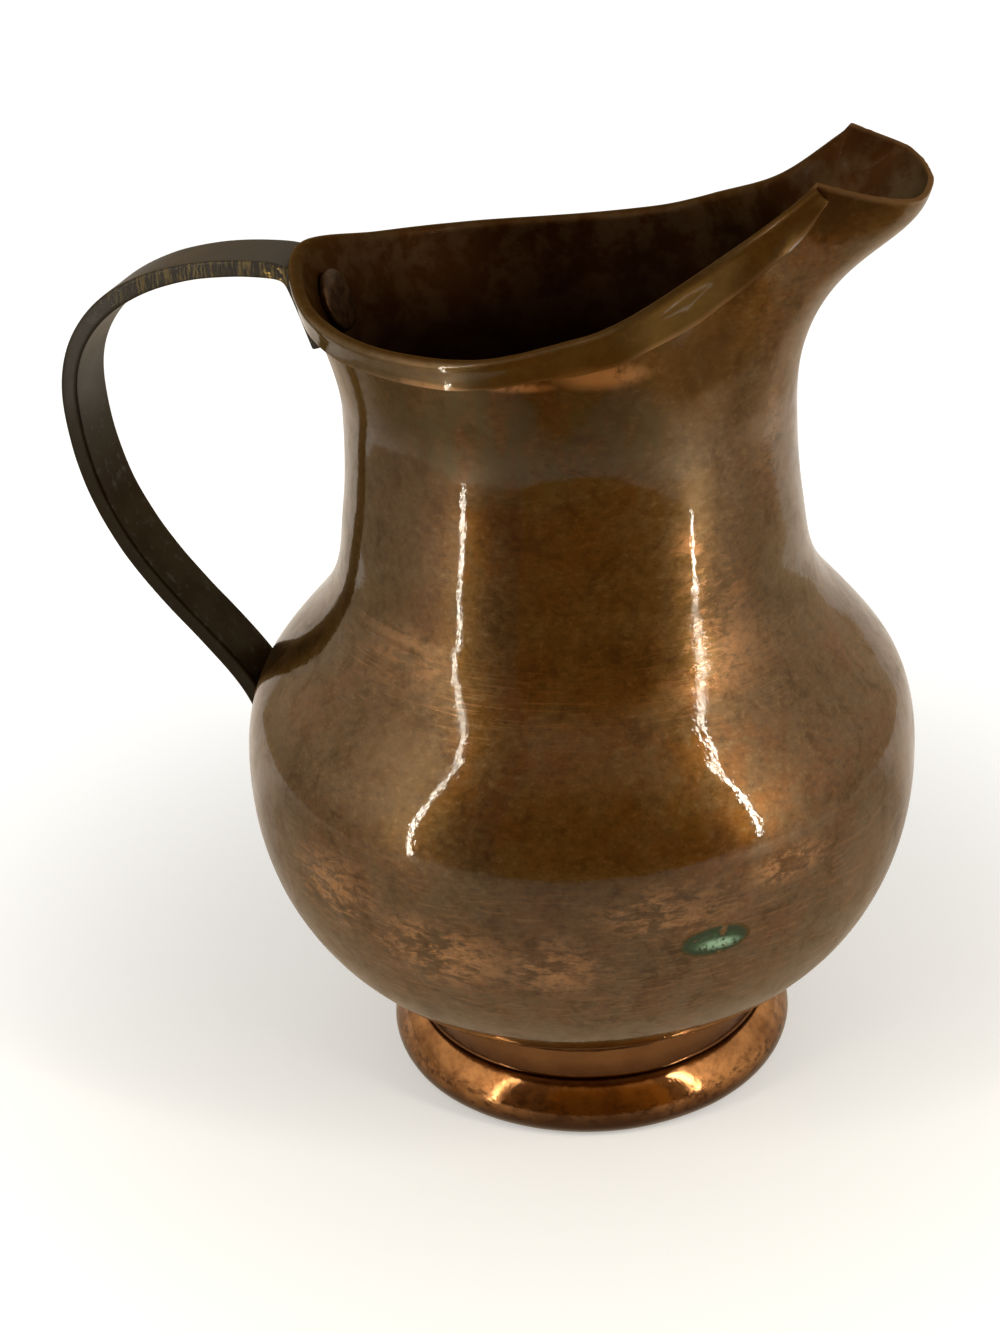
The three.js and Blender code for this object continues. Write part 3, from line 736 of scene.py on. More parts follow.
def cut_at_belly(bm):
    """Cuts the foot of the bar off along the belly and closes it."""
    landing, outward, _ = bar_landing()
    bm.verts.index_update()
    bm.edges.index_update()
    lower = [face for face in bm.faces if face.calc_center_median().z < OUTER_HEIGHT - OUTER_PULL_DOWN]
    corners = sorted({vert for face in lower for vert in face.verts}, key=lambda vert: vert.index)
    edges = sorted({edge for face in lower for edge in face.edges}, key=lambda edge: edge.index)
    cut = bmesh.ops.bisect_plane(
        bm, geom=[*corners, *edges, *lower], plane_co=landing + outward * FIT, plane_no=-outward,
        clear_outer=True,
    )["geom_cut"]
    open_edges = [part for part in cut if isinstance(part, bmesh.types.BMEdge)]
    bmesh.ops.contextual_create(bm, geom=open_edges)


WIDTH_STEPS = 14
THICKNESS_STEPS = 4
ARRIS_FROM = math.radians(60)


def make_handle(material):
    bm = bmesh.new()
    line = bar_line()
    bmesh.ops.create_grid(bm, x_segments=THICKNESS_STEPS, y_segments=WIDTH_STEPS, size=0.5)
    bmesh.ops.scale(bm, vec=(BAR_THICKNESS, BAR_WIDTH, 1), verts=bm.verts[:])
    here = bar_frame(line, 0)
    bmesh.ops.transform(bm, matrix=here, verts=bm.verts[:])
    cap = bm.faces[:]
    for number in range(1, len(line)):
        grown = bmesh.ops.extrude_face_region(bm, geom=cap)["geom"]
        corners = [part for part in grown if isinstance(part, bmesh.types.BMVert)]
        if number > 1:
            bmesh.ops.delete(bm, geom=cap, context="FACES")
        cap = [part for part in grown if isinstance(part, bmesh.types.BMFace)]
        there = bar_frame(line, number)
        bmesh.ops.transform(bm, matrix=there @ here.inverted(), verts=corners)
        here = there
    bmesh.ops.recalc_face_normals(bm, faces=bm.faces[:])
    cut_at_belly(bm)
    arrises = [edge for edge in bm.edges if edge.is_manifold and edge.calc_face_angle() > ARRIS_FROM]
    bmesh.ops.bevel(bm, geom=arrises, offset=BAR_EASE, segments=3, profile=0.5, affect="EDGES", material=-1)
    bmesh.ops.recalc_face_normals(bm, faces=bm.faces[:])
    bm.normal_update()
    near_layer = bm.verts.layers.float.new("near_side")
    for vert in bm.verts:
        vert[near_layer] = float(vert.co.y < -BAR_WIDTH / 2 + BAR_EASE)
    for vert in bm.verts:
        vert.co += vert.normal * unevenness(vert.co, BAR_SWELLS)
    finish_piece(bm, "brass_handle", "handle", material)


# Solder round the foot of the bar: steps outward from the bar, and heights above the belly
BAR_SOLDER_SECTION = [
    (0.0001, 0.0014), (0.0003, 0.0008), (0.0007, 0.00045), (0.0014, 0.0003), (0.0014, 0.0001),
    (-0.0004, 0.0001),
]
BAR_SOLDER_ROUND_STEPS = 96
SQUARENESS = 8
BELLY_UPRIGHT_BEND = 0.055


def make_handle_solder(material):
    """A hollow fillet round the cut foot of the bar, on the belly."""
    centre, outward, up = bar_landing()
    place = Matrix.Translation(centre) @ Matrix((outward.cross(up), up, outward)).transposed().to_4x4()
    half_width = BAR_WIDTH / 2
    half_height = BAR_THICKNESS / 2 / math.sin(LOWER_END_SLANT + math.asin(outward.z))
    bm = bmesh.new()
    bm.verts.layers.float.new("turn")
    turn_layer = bm.verts.layers.float["turn"]

    def put(corners, grow, rise):
        for corner in corners:
            c, s = math.cos(corner[turn_layer]), math.sin(corner[turn_layer])
            square = (abs(c) ** SQUARENESS + abs(s) ** SQUARENESS) ** (-1 / SQUARENESS)
            lumps = unevenness(Vector((c, s, 0)), BAR_SOLDER_SWELLS)
            x = (half_width + grow * (1 + lumps)) * square * c
            y = (half_height + grow * (1 + lumps)) * square * s
            sag = x * x / (2 * body_radius(LOWER_END_HEIGHT)) + y * y / (2 * BELLY_UPRIGHT_BEND)
            corner.co = place @ Vector((x, y, rise * (1 + lumps) - sag))

    ring = bmesh.ops.create_circle(bm, segments=BAR_SOLDER_ROUND_STEPS, radius=1)["verts"]
    for vert in ring:
        vert[turn_layer] = math.atan2(vert.co.y, vert.co.x)
    put(ring, *BAR_SOLDER_SECTION[0])
    edges = bm.edges[:]
    for grow, rise in BAR_SOLDER_SECTION[1:]:
        corners, edges = grow_edges(bm, edges)
        put(corners, grow, rise)
    bmesh.ops.bridge_loops(bm, edges=[edge for edge in bm.edges if edge.is_boundary])
    bmesh.ops.recalc_face_normals(bm, faces=bm.faces[:])
    finish_piece(bm, "handle_solder_run", "handle_solder", material)


RIVET_AIR = 0.0001
RIVET_FACE_HOLLOW = 0.0003
RIVET_EASE = 0.1
RIVET_EASE_HEIGHT = 0.0007
RIVET_EASE_RISE = 0.0005


def make_rivet(material):
    """Modelled upright on the axis, its inner head down, then turned into the wall."""
    bm = bmesh.new()
    sag = RIVET_INNER_HEAD ** 2 / (2 * WAIST_RADIUS)
    head_top = -SHEET - FIT - sag
    head_bottom = head_top - RIVET_INNER_RISE
    bar_face = FIT + BAR_THICKNESS + RIVET_AIR
    outline = [(0, head_bottom)]
    for share in (0.2, 0.4, 0.6, 0.8):
        outline.append((RIVET_INNER_HEAD * share, head_bottom + RIVET_FACE_HOLLOW * share ** 4))
    ease = RIVET_INNER_HEAD * RIVET_EASE
    ease_centre = (RIVET_INNER_HEAD - ease, head_bottom + RIVET_EASE_HEIGHT)
    outline += arc(ease_centre, ease, RIVET_EASE_RISE, -75, 0, 5)
    outline += [(RIVET_INNER_HEAD, head_top), (RIVET_SHANK, head_top)]
    outline += [(RIVET_SHANK, bar_face), (RIVET_OUTER_HEAD, bar_face)]
    outline += arc((0, bar_face), RIVET_OUTER_HEAD, RIVET_OUTER_RISE, 12, 90, 10)
    spin_outline(bm, outline, RIVET_ROUND_STEPS)
    point, outward = neck_back(RIM_BACK.z - RIVET_DROP)
    forward = Vector((-outward.x, 0, outward.y))
    for vert in bm.verts:
        vert.co.x -= AXIS
        vert.co.z += unevenness(vert.co, RIVET_SWELLS)
    turn = Vector((0, 0, 1)).rotation_difference(forward).to_matrix().to_4x4()
    bmesh.ops.transform(bm, matrix=Matrix.Translation((AXIS - point.x, 0, point.y)) @ turn, verts=bm.verts[:])
    bmesh.ops.recalc_face_normals(bm, faces=bm.faces[:])
    finish_piece(bm, "brass_rivet", "handle_rivet", material)


# Finishes

class Finish:
    """Short ways to write one material's nodes. All patterns use object coordinates or attributes."""

    def __init__(self, name, coat, coat_roughness):
        self.material = bpy.data.materials.new(name)
        self.material.use_nodes = True
        self.tree = self.material.node_tree
        self.shader = self.tree.nodes["Principled BSDF"]
        self.shader.inputs["Coat Weight"].default_value = coat
        self.shader.inputs["Coat Roughness"].default_value = coat_roughness
        self.place = self.add("ShaderNodeTexCoord").outputs["Object"]
        upright = self.add("ShaderNodeSeparateXYZ")
        self.put(self.place, upright.inputs[0])
        self.height = upright.outputs["Z"]

    def add(self, kind, **settings):
        node = self.tree.nodes.new(kind)
        for name, value in settings.items():
            setattr(node, name, value)
        return node

    def put(self, source, target):
        if isinstance(source, bpy.types.NodeSocket):
            self.tree.links.new(source, target)
        else:
            target.default_value = source

    def set(self, **inputs):
        for name, source in inputs.items():
            self.put(source, self.shader.inputs[name.replace("_", " ").title()])

    def math(self, operation, *values):
        """Works through the values from the first to the last."""
        result = values[0]
        for value in values[1:]:
            node = self.add("ShaderNodeMath", operation=operation)
            self.put(result, node.inputs[0])
            self.put(value, node.inputs[1])
            result = node.outputs[0]
        return result

    def times(self, *values):
        return self.math("MULTIPLY", *values)

    def plus(self, *values):
        return self.math("ADD", *values)

    def most(self, *values):
        return self.math("MAXIMUM", *values)

    def vector(self, operation, first, second=(0, 0, 0)):
        node = self.add("ShaderNodeVectorMath", operation=operation)
        self.put(first, node.inputs[0])
        self.put(second, node.inputs[1])
        return node.outputs["Value" if operation in ("LENGTH", "DOT_PRODUCT") else "Vector"]

    def fade(self, value, low, high, from_value=0.0, to_value=1.0):
        """Turns a value's run from low to high into a smooth run between two other values."""
        node = self.add("ShaderNodeMapRange", interpolation_type="SMOOTHSTEP")
        for name, source in zip(("Value", "From Min", "From Max", "To Min", "To Max"),
                                (value, low, high, from_value, to_value)):
            self.put(source, node.inputs[name])
        return node.outputs["Result"]

    def noise(self, size, detail=3.0, rough=0.5, stretch=(1, 1, 1), shift=0.0, warp=0.0):
        """Clouds whose blotches are about as large as size, in metres."""
        scaled = self.vector("MULTIPLY", self.place, tuple(1 / (size * part) for part in stretch))
        moved = self.vector("ADD", scaled, (shift, shift * 1.7, shift * 0.6))
        node = self.add("ShaderNodeTexNoise")
        self.put(moved, node.inputs["Vector"])
        for name, value in (("Scale", 1.0), ("Detail", detail), ("Roughness", rough), ("Distortion", warp)):
            self.put(value, node.inputs[name])
        return node.outputs["Fac"]

    def spot(self, spot, soft):
        """1 at a place of the surface, 0 beyond its half width and half height."""
        offset = self.vector("SUBTRACT", self.place, tuple(spot.centre))
        scaled = self.vector("MULTIPLY", offset, (1 / spot.wide, 1 / spot.wide, 1 / spot.high))
        return self.fade(self.vector("LENGTH", scaled), soft, 1.0, 1.0, 0.0)

    def mix(self, share, first, second):
        node = self.add("ShaderNodeMix", data_type="RGBA")
        self.put(share, node.inputs["Factor"])
        for socket, source in ((node.inputs[6], first), (node.inputs[7], second)):
            self.put((*source, 1) if isinstance(source, tuple) else source, socket)
        return node.outputs[2]

    def attribute(self, name):
        return self.add("ShaderNodeAttribute", attribute_name=name).outputs["Fac"]

    def bump(self, height, distance):
        node = self.add("ShaderNodeBump")
        self.put(distance, node.inputs["Distance"])
        self.put(height, node.inputs["Height"])
        return node.outputs["Normal"]

    def set_bump(self, relief, distance):
        normal = self.bump(relief, distance)
        self.set(normal=normal, coat_normal=normal)


def on_body(angle, height):
    return around(angle, body_radius(height), height)


# A place of the surface, its half width and its half height
Spot = namedtuple("Spot", "centre wide high")


# Aged copper of bowl and neck

PATINA_BROWN = (0.122, 0.050, 0.010)
PATINA_OLIVE = (0.100, 0.052, 0.013)
PATINA_GREY = (0.104, 0.064, 0.026)
# Dark patina; the darker places also lay it on as painted shade.
PATINA_DARK_AND_SHADE = (0.050, 0.024, 0.007)
PATINA_GREEN = (0.076, 0.063, 0.028)
# Pale patina, also the painted highlight along the seam's ridge.
PATINA_PALE_AND_SHEEN = (0.190, 0.122, 0.058)
RUBBED_COPPER = (0.27, 0.130, 0.051)
RUBBED_LOW = (0.46, 0.240, 0.108)
INSIDE_BROWN = (0.040, 0.016, 0.005)
# Lighter brown inside, laid on as painted sheen towards the rim.
INSIDE_SHEEN = (0.063, 0.036, 0.017)
LIP_SHEEN = (0.100, 0.080, 0.048)
EDGE_COPPER = (0.22, 0.132, 0.068)
FOLD_OLIVE = (0.075, 0.048, 0.014)
VERDIGRIS = (0.026, 0.062, 0.030)
VERDIGRIS_DARK = (0.010, 0.026, 0.012)
PALE_CRUST = (0.21, 0.33, 0.22)

GREENISH_PLACE = Spot(around(-92, 0.041, 0.143), 0.045, 0.015)
BROKEN_LIGHT = Spot(on_body(-47, 0.104), 0.016, 0.015)
SHEEN_IN_LIP = Spot((AXIS + 0.0560, 0.004, 0.1745), 0.012, 0.008)
DENT_PATCH = Spot(on_body(DENT_ANGLE, DENT_HEIGHT), 0.0072, 0.0034)
DENT_FLOOR = Spot(on_body(DENT_ANGLE, DENT_HEIGHT - 0.0003), 0.0056, 0.0022)
DENT_CRUST = Spot(on_body(DENT_ANGLE + 0.8, DENT_HEIGHT - 0.0010), 0.0052, 0.0014)

# Darker places, and how dark they are: partly darker patina, partly painted shade that stands in for darker
# reflections and hides an unwanted flare. The darkest are matt as well.
MATT_FROM = 0.8
DARKER_PATINA_AND_PAINTED_SHADE = [
    (Spot(around(-112, 0.041, 0.136), 0.036, 0.034), 0.45),
    (Spot(around(-70, 0.042, 0.150), 0.030, 0.016), 0.30),
    (Spot((0.0290, -0.0370, 0.1430), 0.0035, 0.0016), 0.75),
    (Spot((0.0465, -0.0274, 0.1600), 0.020, 0.017), 0.85),
    (Spot((0.0462, -0.0270, 0.1473), 0.014, 0.014), 0.60),
    (Spot(around(-78, 0.0628, 0.0620), 0.026, 0.016), 0.50),
    (Spot((0.0509, -0.0528, 0.0672), 0.014, 0.006), 0.60),
    (Spot((0.0687, -0.0171, 0.1788), 0.016, 0.012), 0.95),
]

# Paler places, and how pale they are
PALER_PLACES = [
    (Spot((0.0545, -0.0146, 0.1400), 0.0070, 0.012), 0.80),
    (Spot((0.0465, -0.0273, 0.1310), 0.0050, 0.011), 0.60),
    (Spot(around(-12, 0.044, 0.116), 0.014, 0.012), 0.45),
    (Spot(around(-110, 0.056, 0.090), 0.014, 0.010), 0.40),
    (Spot(around(-121, 0.043, 0.105), 0.012, 0.015), 0.35),
]

WORN_UNDER_RIM = [
    Spot((0.0320, -0.0364, 0.1537), 0.0105, 0.0030),
    Spot((0.0190, -0.0400, 0.1520), 0.0080, 0.0012),
    Spot((0.0030, -0.0390, 0.1518), 0.0120, 0.0008),
]

RUBBED_PLACES = [
    Spot(on_body(-118, 0.102), 0.015, 0.008),
    Spot(on_body(-44, 0.103), 0.018, 0.011),
    Spot(on_body(-40, 0.112), 0.012, 0.012),
    Spot(on_body(-46, 0.122), 0.006, 0.005),
    Spot(on_body(-18, 0.137), 0.007, 0.014),
    Spot(on_body(-41, 0.069), 0.013, 0.005),
    Spot(on_body(-120, 0.062), 0.016, 0.012),
    Spot(on_body(-99, 0.056), 0.022, 0.011),
    Spot(on_body(-80, 0.056), 0.014, 0.010),
    Spot(on_body(-62, 0.066), 0.020, 0.008),
]

STREAKED_SHOULDER = [
    Spot(on_body(-42, 0.101), 0.030, 0.013),
    Spot(on_body(-92, 0.098), 0.030, 0.010),
    Spot(on_body(-125, 0.099), 0.022, 0.010),
]


class AgedCopper(Finish):
    """The body's clouds and grain, and the layers of colour that they spread."""

    def __init__(self):
        super().__init__("aged_copper", coat=0.5, coat_roughness=0.03)
        self.shader.inputs["Coat IOR"].default_value = 1.65
        self.shader.inputs["Specular Tint"].default_value = (0.80, 0.66, 0.50, 1)
        self.broad = self.noise(0.030, 2, shift=3.0)
        self.middle = self.noise(0.009, 5, 0.62, shift=7.0, warp=0.4)
        self.small = self.noise(0.0028, 4, 0.6, shift=1.0)
        self.fine = self.noise(0.0009, 3, 0.6, shift=5.0)
        self.cloudy = self.noise(0.0055, 6, 0.7, shift=11.0, warp=0.6)
        self.grain = self.noise(0.0016, 5, 0.75, stretch=(1, 1, 0.7), shift=9.0)
        self.brushed = self.noise(0.008, 4, 0.65, stretch=(1, 1, 0.045), shift=2.0)
        self.mottle = self.plus(self.times(self.middle, 0.6), self.times(self.small, 0.4))
        self.shoulder = self.most(*[self.spot(spot, 0.2) for spot in STREAKED_SHOULDER])
        self.dent = self.spot(DENT_PATCH, 0.75)

    def patina(self):
        colour = self.mix(self.fade(self.broad, 0.38, 0.62), PATINA_BROWN, PATINA_OLIVE)
        low_down = self.fade(self.height, 0.062, 0.030)
        grey = self.times(self.fade(self.mottle, 0.42, 0.60), self.fade(low_down, 0, 1, 0.75, 1.0))
        colour = self.mix(grey, colour, PATINA_GREY)
        colour = self.mix(self.fade(self.cloudy, 0.50, 0.72, 0, 0.75), colour, PATINA_DARK_AND_SHADE)
        colour = self.mix(self.fade(self.grain, 0.50, 0.66, 0, 0.65), colour, PATINA_DARK_AND_SHADE)
        colour = self.mix(self.fade(self.grain, 0.48, 0.32, 0, 0.45), colour, PATINA_PALE_AND_SHEEN)
        # Painted highlight along the seam's ridge.
        colour = self.mix(self.times(self.attribute("ridge"), 0.45), colour, PATINA_PALE_AND_SHEEN)
        runs = self.noise(0.0045, 5, 0.7, stretch=(1, 1, 1.8), shift=4.0)
        greenish = self.times(self.spot(GREENISH_PLACE, 0.3), self.fade(runs, 0.38, 0.60, 0.1, 0.9))
        return self.mix(greenish, colour, PATINA_GREEN)

    def rubbed(self):
        """How far the copper is rubbed bright: in patches, in streaks and thinly round the low belly."""
        near = self.most(*[self.spot(spot, 0.1) for spot in RUBBED_PLACES])
        dashes = self.noise(0.0042, 4, 0.7, stretch=(1, 1, 0.35), shift=6.0, warp=0.5)
        patchy = self.plus(self.times(self.middle, 0.9), self.times(dashes, 1.3))
        patchy = self.times(self.fade(patchy, 0.98, 1.22), self.fade(self.grain, 0.58, 0.44, 0.6, 1.0))
        streaks = self.times(self.shoulder, self.fade(self.brushed, 0.50, 0.68, 0, 0.55))
        scratches = self.noise(0.0065, 4, 0.65, stretch=(1, 1, 0.12), shift=8.0)
        low_band = self.times(self.fade(self.height, 0.078, 0.066), self.fade(self.height, 0.036, 0.044))
        low_streaks = self.times(self.fade(scratches, 0.50, 0.68, 0, 0.22), low_band)
        return self.most(self.times(near, patchy), streaks, low_streaks)

    def brighten(self, rubbed, colour):
        bright = self.mix(self.fade(self.height, 0.085, 0.065), RUBBED_COPPER, RUBBED_LOW)
        return self.mix(self.times(rubbed, 0.85), colour, bright)

    def darken(self, colour):
        """Lays the darker places on: darker patina and painted shade. Also gives how matt the surface is."""
        matt = [self.attribute("inside"), self.dent]
        for spot, share in DARKER_PATINA_AND_PAINTED_SHADE:
            darker = self.times(self.spot(spot, 0.1), self.fade(self.cloudy, 0.30, 0.62, 0.6, 1.0))
            colour = self.mix(self.times(darker, share), colour, PATINA_DARK_AND_SHADE)
            if share > MATT_FROM:
                matt.append(darker)
        return colour, self.fade(self.most(*matt), 0.0, 0.4)

    def lighten(self, colour):
        for spot, share in PALER_PLACES:
            paler = self.times(self.spot(spot, 0.1), self.fade(self.cloudy, 0.62, 0.36, 0.5, 1.0))
            colour = self.mix(self.times(paler, share), colour, PATINA_PALE_AND_SHEEN)
        lighter_patches = self.most(*[self.spot(spot, 0.2) for spot in WORN_UNDER_RIM])
        lighter_patches = self.times(lighter_patches, self.fade(self.mottle, 0.36, 0.50))
        return self.mix(self.times(lighter_patches, 0.85), colour, RUBBED_LOW)

    def inner_face(self):
        # Painted sheen: lighter mottled patches inside, growing towards the rim.
        high_up = self.fade(self.height, 0.130, 0.156, 0.25, 1.0)
        lighter_patches = self.times(self.fade(self.mottle, 0.44, 0.58), high_up)
        colour = self.mix(lighter_patches, INSIDE_BROWN, INSIDE_SHEEN)
        # Painted reflection: a soft pale patch inside the lip of the spout.
        pale = self.times(self.spot(SHEEN_IN_LIP, 0.2), self.fade(self.mottle, 0.40, 0.54, 0.3, 0.9))
        return self.mix(pale, colour, LIP_SHEEN)

    def edges(self, colour):
        colour = self.mix(self.attribute("inside"), colour, self.inner_face())
        colour = self.mix(self.times(self.attribute("fold"), 0.55), colour, FOLD_OLIVE)
        return self.mix(self.times(self.attribute("bare_edge"), 0.5), colour, EDGE_COPPER)

    def verdigris(self, colour):
        """The green lining of the dent and the pale crust along its floor."""
        crust = self.times(self.spot(DENT_CRUST, 0.2), self.fade(self.fine, 0.36, 0.54))
        deep = self.times(self.spot(DENT_FLOOR, 0.5), self.fade(self.small, 0.35, 0.60))
        green = self.mix(deep, VERDIGRIS_DARK, VERDIGRIS)
        colour = self.mix(self.times(self.dent, self.fade(self.small, 0.28, 0.42)), colour, green)
        return self.mix(crust, colour, PALE_CRUST)

    def coat(self, matt):
        """The smooth skin that mirrors the lights: thinner where cloudy, high on the neck or matt."""
        skin = self.fade(self.cloudy, 0.40, 0.70, 0.70, 0.45)
        dull_top = self.fade(self.height, 0.136, 0.144, 1.0, 0.45)
        skin = self.times(skin, self.most(dull_top, self.attribute("fold")))
        return self.times(skin, self.fade(matt, 0, 1, 1.0, 0.03))

    def relief(self):
        relief = self.plus(self.times(self.small, 0.8), self.middle)
        relief = self.plus(relief, self.times(self.times(self.brushed, self.shoulder), 0.25))
        crackle = self.fade(self.spot(BROKEN_LIGHT, 0.2), 0, 1, 0.22, 0.75)
        return self.plus(relief, self.times(self.fine, crackle))


def make_aged_copper():
    finish = AgedCopper()
    rubbed = finish.rubbed()
    colour, matt = finish.darken(finish.brighten(rubbed, finish.patina()))
    finish.set(base_color=finish.verdigris(finish.edges(finish.lighten(colour))))
    finish.set(metallic=finish.math("SUBTRACT", 1.0, finish.times(finish.dent, 0.9)))
    finish.set(coat_weight=finish.coat(matt))
    rough = finish.fade(finish.middle, 0.3, 0.7, 0.28, 0.40)
    rough = finish.math("SUBTRACT", rough, finish.times(rubbed, 0.10))
    finish.set(roughness=finish.plus(rough, finish.times(matt, 0.2)))
    finish.set_bump(finish.relief(), 0.000035)
    return finish.material


# Bright copper of the foot

FOOT_COPPER = (0.46, 0.225, 0.088)
FOOT_BROWN = (0.28, 0.125, 0.045)
FOOT_SPECKS = (0.07, 0.025, 0.008)
FOOT_PAINTED_SHADE = (0.062, 0.026, 0.009)
FOOT_UNDER = (0.05, 0.020, 0.007)
COLLAR_LOW = (0.080, 0.028, 0.007)
COLLAR_HIGH = (0.180, 0.080, 0.027)
CREASE_SHADE = (0.045, 0.015, 0.004)
PAINTED_DARK_FRONT = Spot(around(-76, 0.0385, 0.0050), 0.022, 0.0085)


def make_foot_copper():
    finish = Finish("foot_copper", coat=0.2, coat_roughness=0.05)
    height = finish.height
    middle = finish.noise(0.007, 4, 0.6, shift=2.0)
    small = finish.noise(0.0024, 5, 0.65, shift=4.0, stretch=(1, 1, 0.6))
    colour = finish.mix(finish.fade(middle, 0.40, 0.62), FOOT_COPPER, FOOT_BROWN)
    low_down = finish.fade(height, 0.0095, 0.0055, 0.25, 0.9)
    colour = finish.mix(finish.times(finish.fade(small, 0.46, 0.66), low_down), colour, FOOT_SPECKS)
    # Painted shade: the front of the foot, towards the viewer, darkened where it mirrors the dark room.
    colour = finish.mix(finish.times(finish.spot(PAINTED_DARK_FRONT, 0.3), 0.80), colour, FOOT_PAINTED_SHADE)
    collar = finish.mix(finish.fade(height, 0.0120, 0.0155), COLLAR_LOW, COLLAR_HIGH)
    colour = finish.mix(finish.fade(height, 0.0108, 0.0120, 0, 0.85), colour, collar)
    # Painted shade in the crease between the flange and the collar.
    corner = finish.times(finish.fade(height, 0.0108, 0.0112), finish.fade(height, 0.0122, 0.0116))
    colour = finish.mix(finish.times(corner, 0.6), colour, CREASE_SHADE)
    colour = finish.mix(finish.fade(height, 0.0066, 0.0030, 0, 0.85), colour, FOOT_UNDER)
    finish.set(base_color=colour, metallic=1.0, roughness=finish.fade(middle, 0.3, 0.7, 0.07, 0.14))
    finish.set_bump(finish.plus(small, middle), 0.00005)
    return finish.material


# Old solder

SOLDER_BROWN = (0.110, 0.048, 0.018)
SOLDER_DARK = (0.060, 0.028, 0.011)
SOLDER_GLINT = (0.50, 0.33, 0.17)
SOLDER_GLINT_SPOT = Spot(around(-28, 0.0360, 0.0165), 0.011, 0.004)


def make_old_solder():
    finish = Finish("old_solder", coat=0.05, coat_roughness=0.2)
    small = finish.noise(0.003, 4, 0.6)
    colour = finish.mix(finish.fade(small, 0.40, 0.60), SOLDER_BROWN, SOLDER_DARK)
    # Painted highlight: a bright spot on the solder at the right front.
    bright = finish.times(finish.spot(SOLDER_GLINT_SPOT, 0.3), finish.fade(small, 0.35, 0.50))
    finish.set(base_color=finish.mix(bright, colour, SOLDER_GLINT), metallic=1.0, roughness=0.55)
    return finish.material


# Brass of the handle, and the rivet's tarnish

# Dark brass, also laid on the side towards the viewer as painted shade.
BRASS_DARK_AND_SHADE = (0.020, 0.016, 0.011)
BRASS_OLIVE = (0.036, 0.031, 0.021)
# Grey brass: mottled in, and laid on towards the top of the bar as painted sheen.
BRASS_GREY_AND_SHEEN = (0.096, 0.104, 0.118)
BRASS_BEND_SHEEN = (0.125, 0.130, 0.135)
BRASS_FILED = (0.17, 0.135, 0.060)
BRASS_BARE = (0.75, 0.56, 0.20)
INNER_BEND_SHEEN = Spot((AXIS - HANDLE_REACH + 0.0060, 0, 0.142), 0.014, 0.020)
BARE_BY_THE_RIM = Spot((-0.0350, -0.0064, 0.1572), 0.0022, 0.0024)


def make_dull_brass():
    finish = Finish("dull_brass", coat=0.12, coat_roughness=0.15)
    finish.shader.inputs["Specular Tint"].default_value = (0.55, 0.46, 0.33, 1)
    middle = finish.noise(0.010, 4, 0.6, shift=6.0)
    small = finish.noise(0.0022, 4, 0.6, shift=3.0)
    near_side = finish.attribute("near_side")
    colour = finish.mix(finish.fade(middle, 0.36, 0.64), BRASS_DARK_AND_SHADE, BRASS_OLIVE)
    # Painted sheen: greyer and lighter towards the top of the bar.
    colour = finish.mix(finish.fade(finish.height, 0.112, 0.150), colour, BRASS_GREY_AND_SHEEN)
    colour = finish.mix(finish.fade(small, 0.56, 0.70, 0, 0.35), colour, BRASS_GREY_AND_SHEEN)
    # Painted reflection: the inside of the upper bend is lighter grey.
    colour = finish.mix(finish.times(finish.spot(INNER_BEND_SHEEN, 0.3), 0.8), colour, BRASS_BEND_SHEEN)
    # Painted shade: the side of the bar towards the viewer is darker.
    colour = finish.mix(finish.times(near_side, 0.75), colour, BRASS_DARK_AND_SHADE)
    filed = finish.times(near_side, finish.fade(finish.height, 0.148, 0.154))
    marks = finish.noise(0.0035, 3, 0.6, stretch=(0.14, 1, 1), shift=2.0)
    colour = finish.mix(finish.times(filed, finish.fade(marks, 0.48, 0.62, 0, 0.55)), colour, BRASS_FILED)
    bare = finish.times(finish.spot(BARE_BY_THE_RIM, 0.3), finish.fade(finish.noise(0.0010, 2), 0.50, 0.58))
    colour = finish.mix(bare, colour, BRASS_BARE)
    finish.set(base_color=colour, metallic=1.0, roughness=finish.fade(middle, 0.3, 0.7, 0.42, 0.55))
    relief = finish.plus(finish.times(middle, 0.8), finish.times(small, 0.5))
    finish.set_bump(finish.plus(relief, finish.times(filed, marks)), 0.00010)
    return finish.material


TARNISH_BROWN = (0.070, 0.036, 0.015)
TARNISH_DARK = (0.035, 0.016, 0.006)


def make_tarnish():
    """The rivet has gone as brown as the copper round it."""
    finish = Finish("tarnish", coat=0.2, coat_roughness=0.15)
    small = finish.noise(0.002, 4, 0.6)
    colour = finish.mix(finish.fade(small, 0.42, 0.60), TARNISH_BROWN, TARNISH_DARK)
    finish.set(base_color=colour, metallic=1.0, roughness=0.5, normal=finish.bump(small, 0.00008))
    return finish.material


aged_copper = make_aged_copper()
foot_copper = make_foot_copper()
old_solder = make_old_solder()
dull_brass = make_dull_brass()
tarnish = make_tarnish()

make_bowl(aged_copper)
make_neck(aged_copper)
make_seam(aged_copper)
make_foot(foot_copper)
make_foot_solder(old_solder)
make_handle(dull_brass)
make_handle_solder(old_solder)
make_rivet(tarnish)


# Camera

CAMERA_AZIMUTH = math.radians(15.5)
CAMERA_HEIGHT_ANGLE = math.radians(28.001)
CAMERA_ROLL = math.radians(2.164)
CAMERA_DISTANCE = 0.456892
CAMERA_TARGET = Vector((AXIS, 0, 0.080))
PIXELS_WIDE = 1000
PIXELS_HIGH = 1333
FOCAL_PIXELS = 2420
SENSOR = 36
LOOK_PIXEL_X = 579.3
LOOK_PIXEL_Y = 670.9

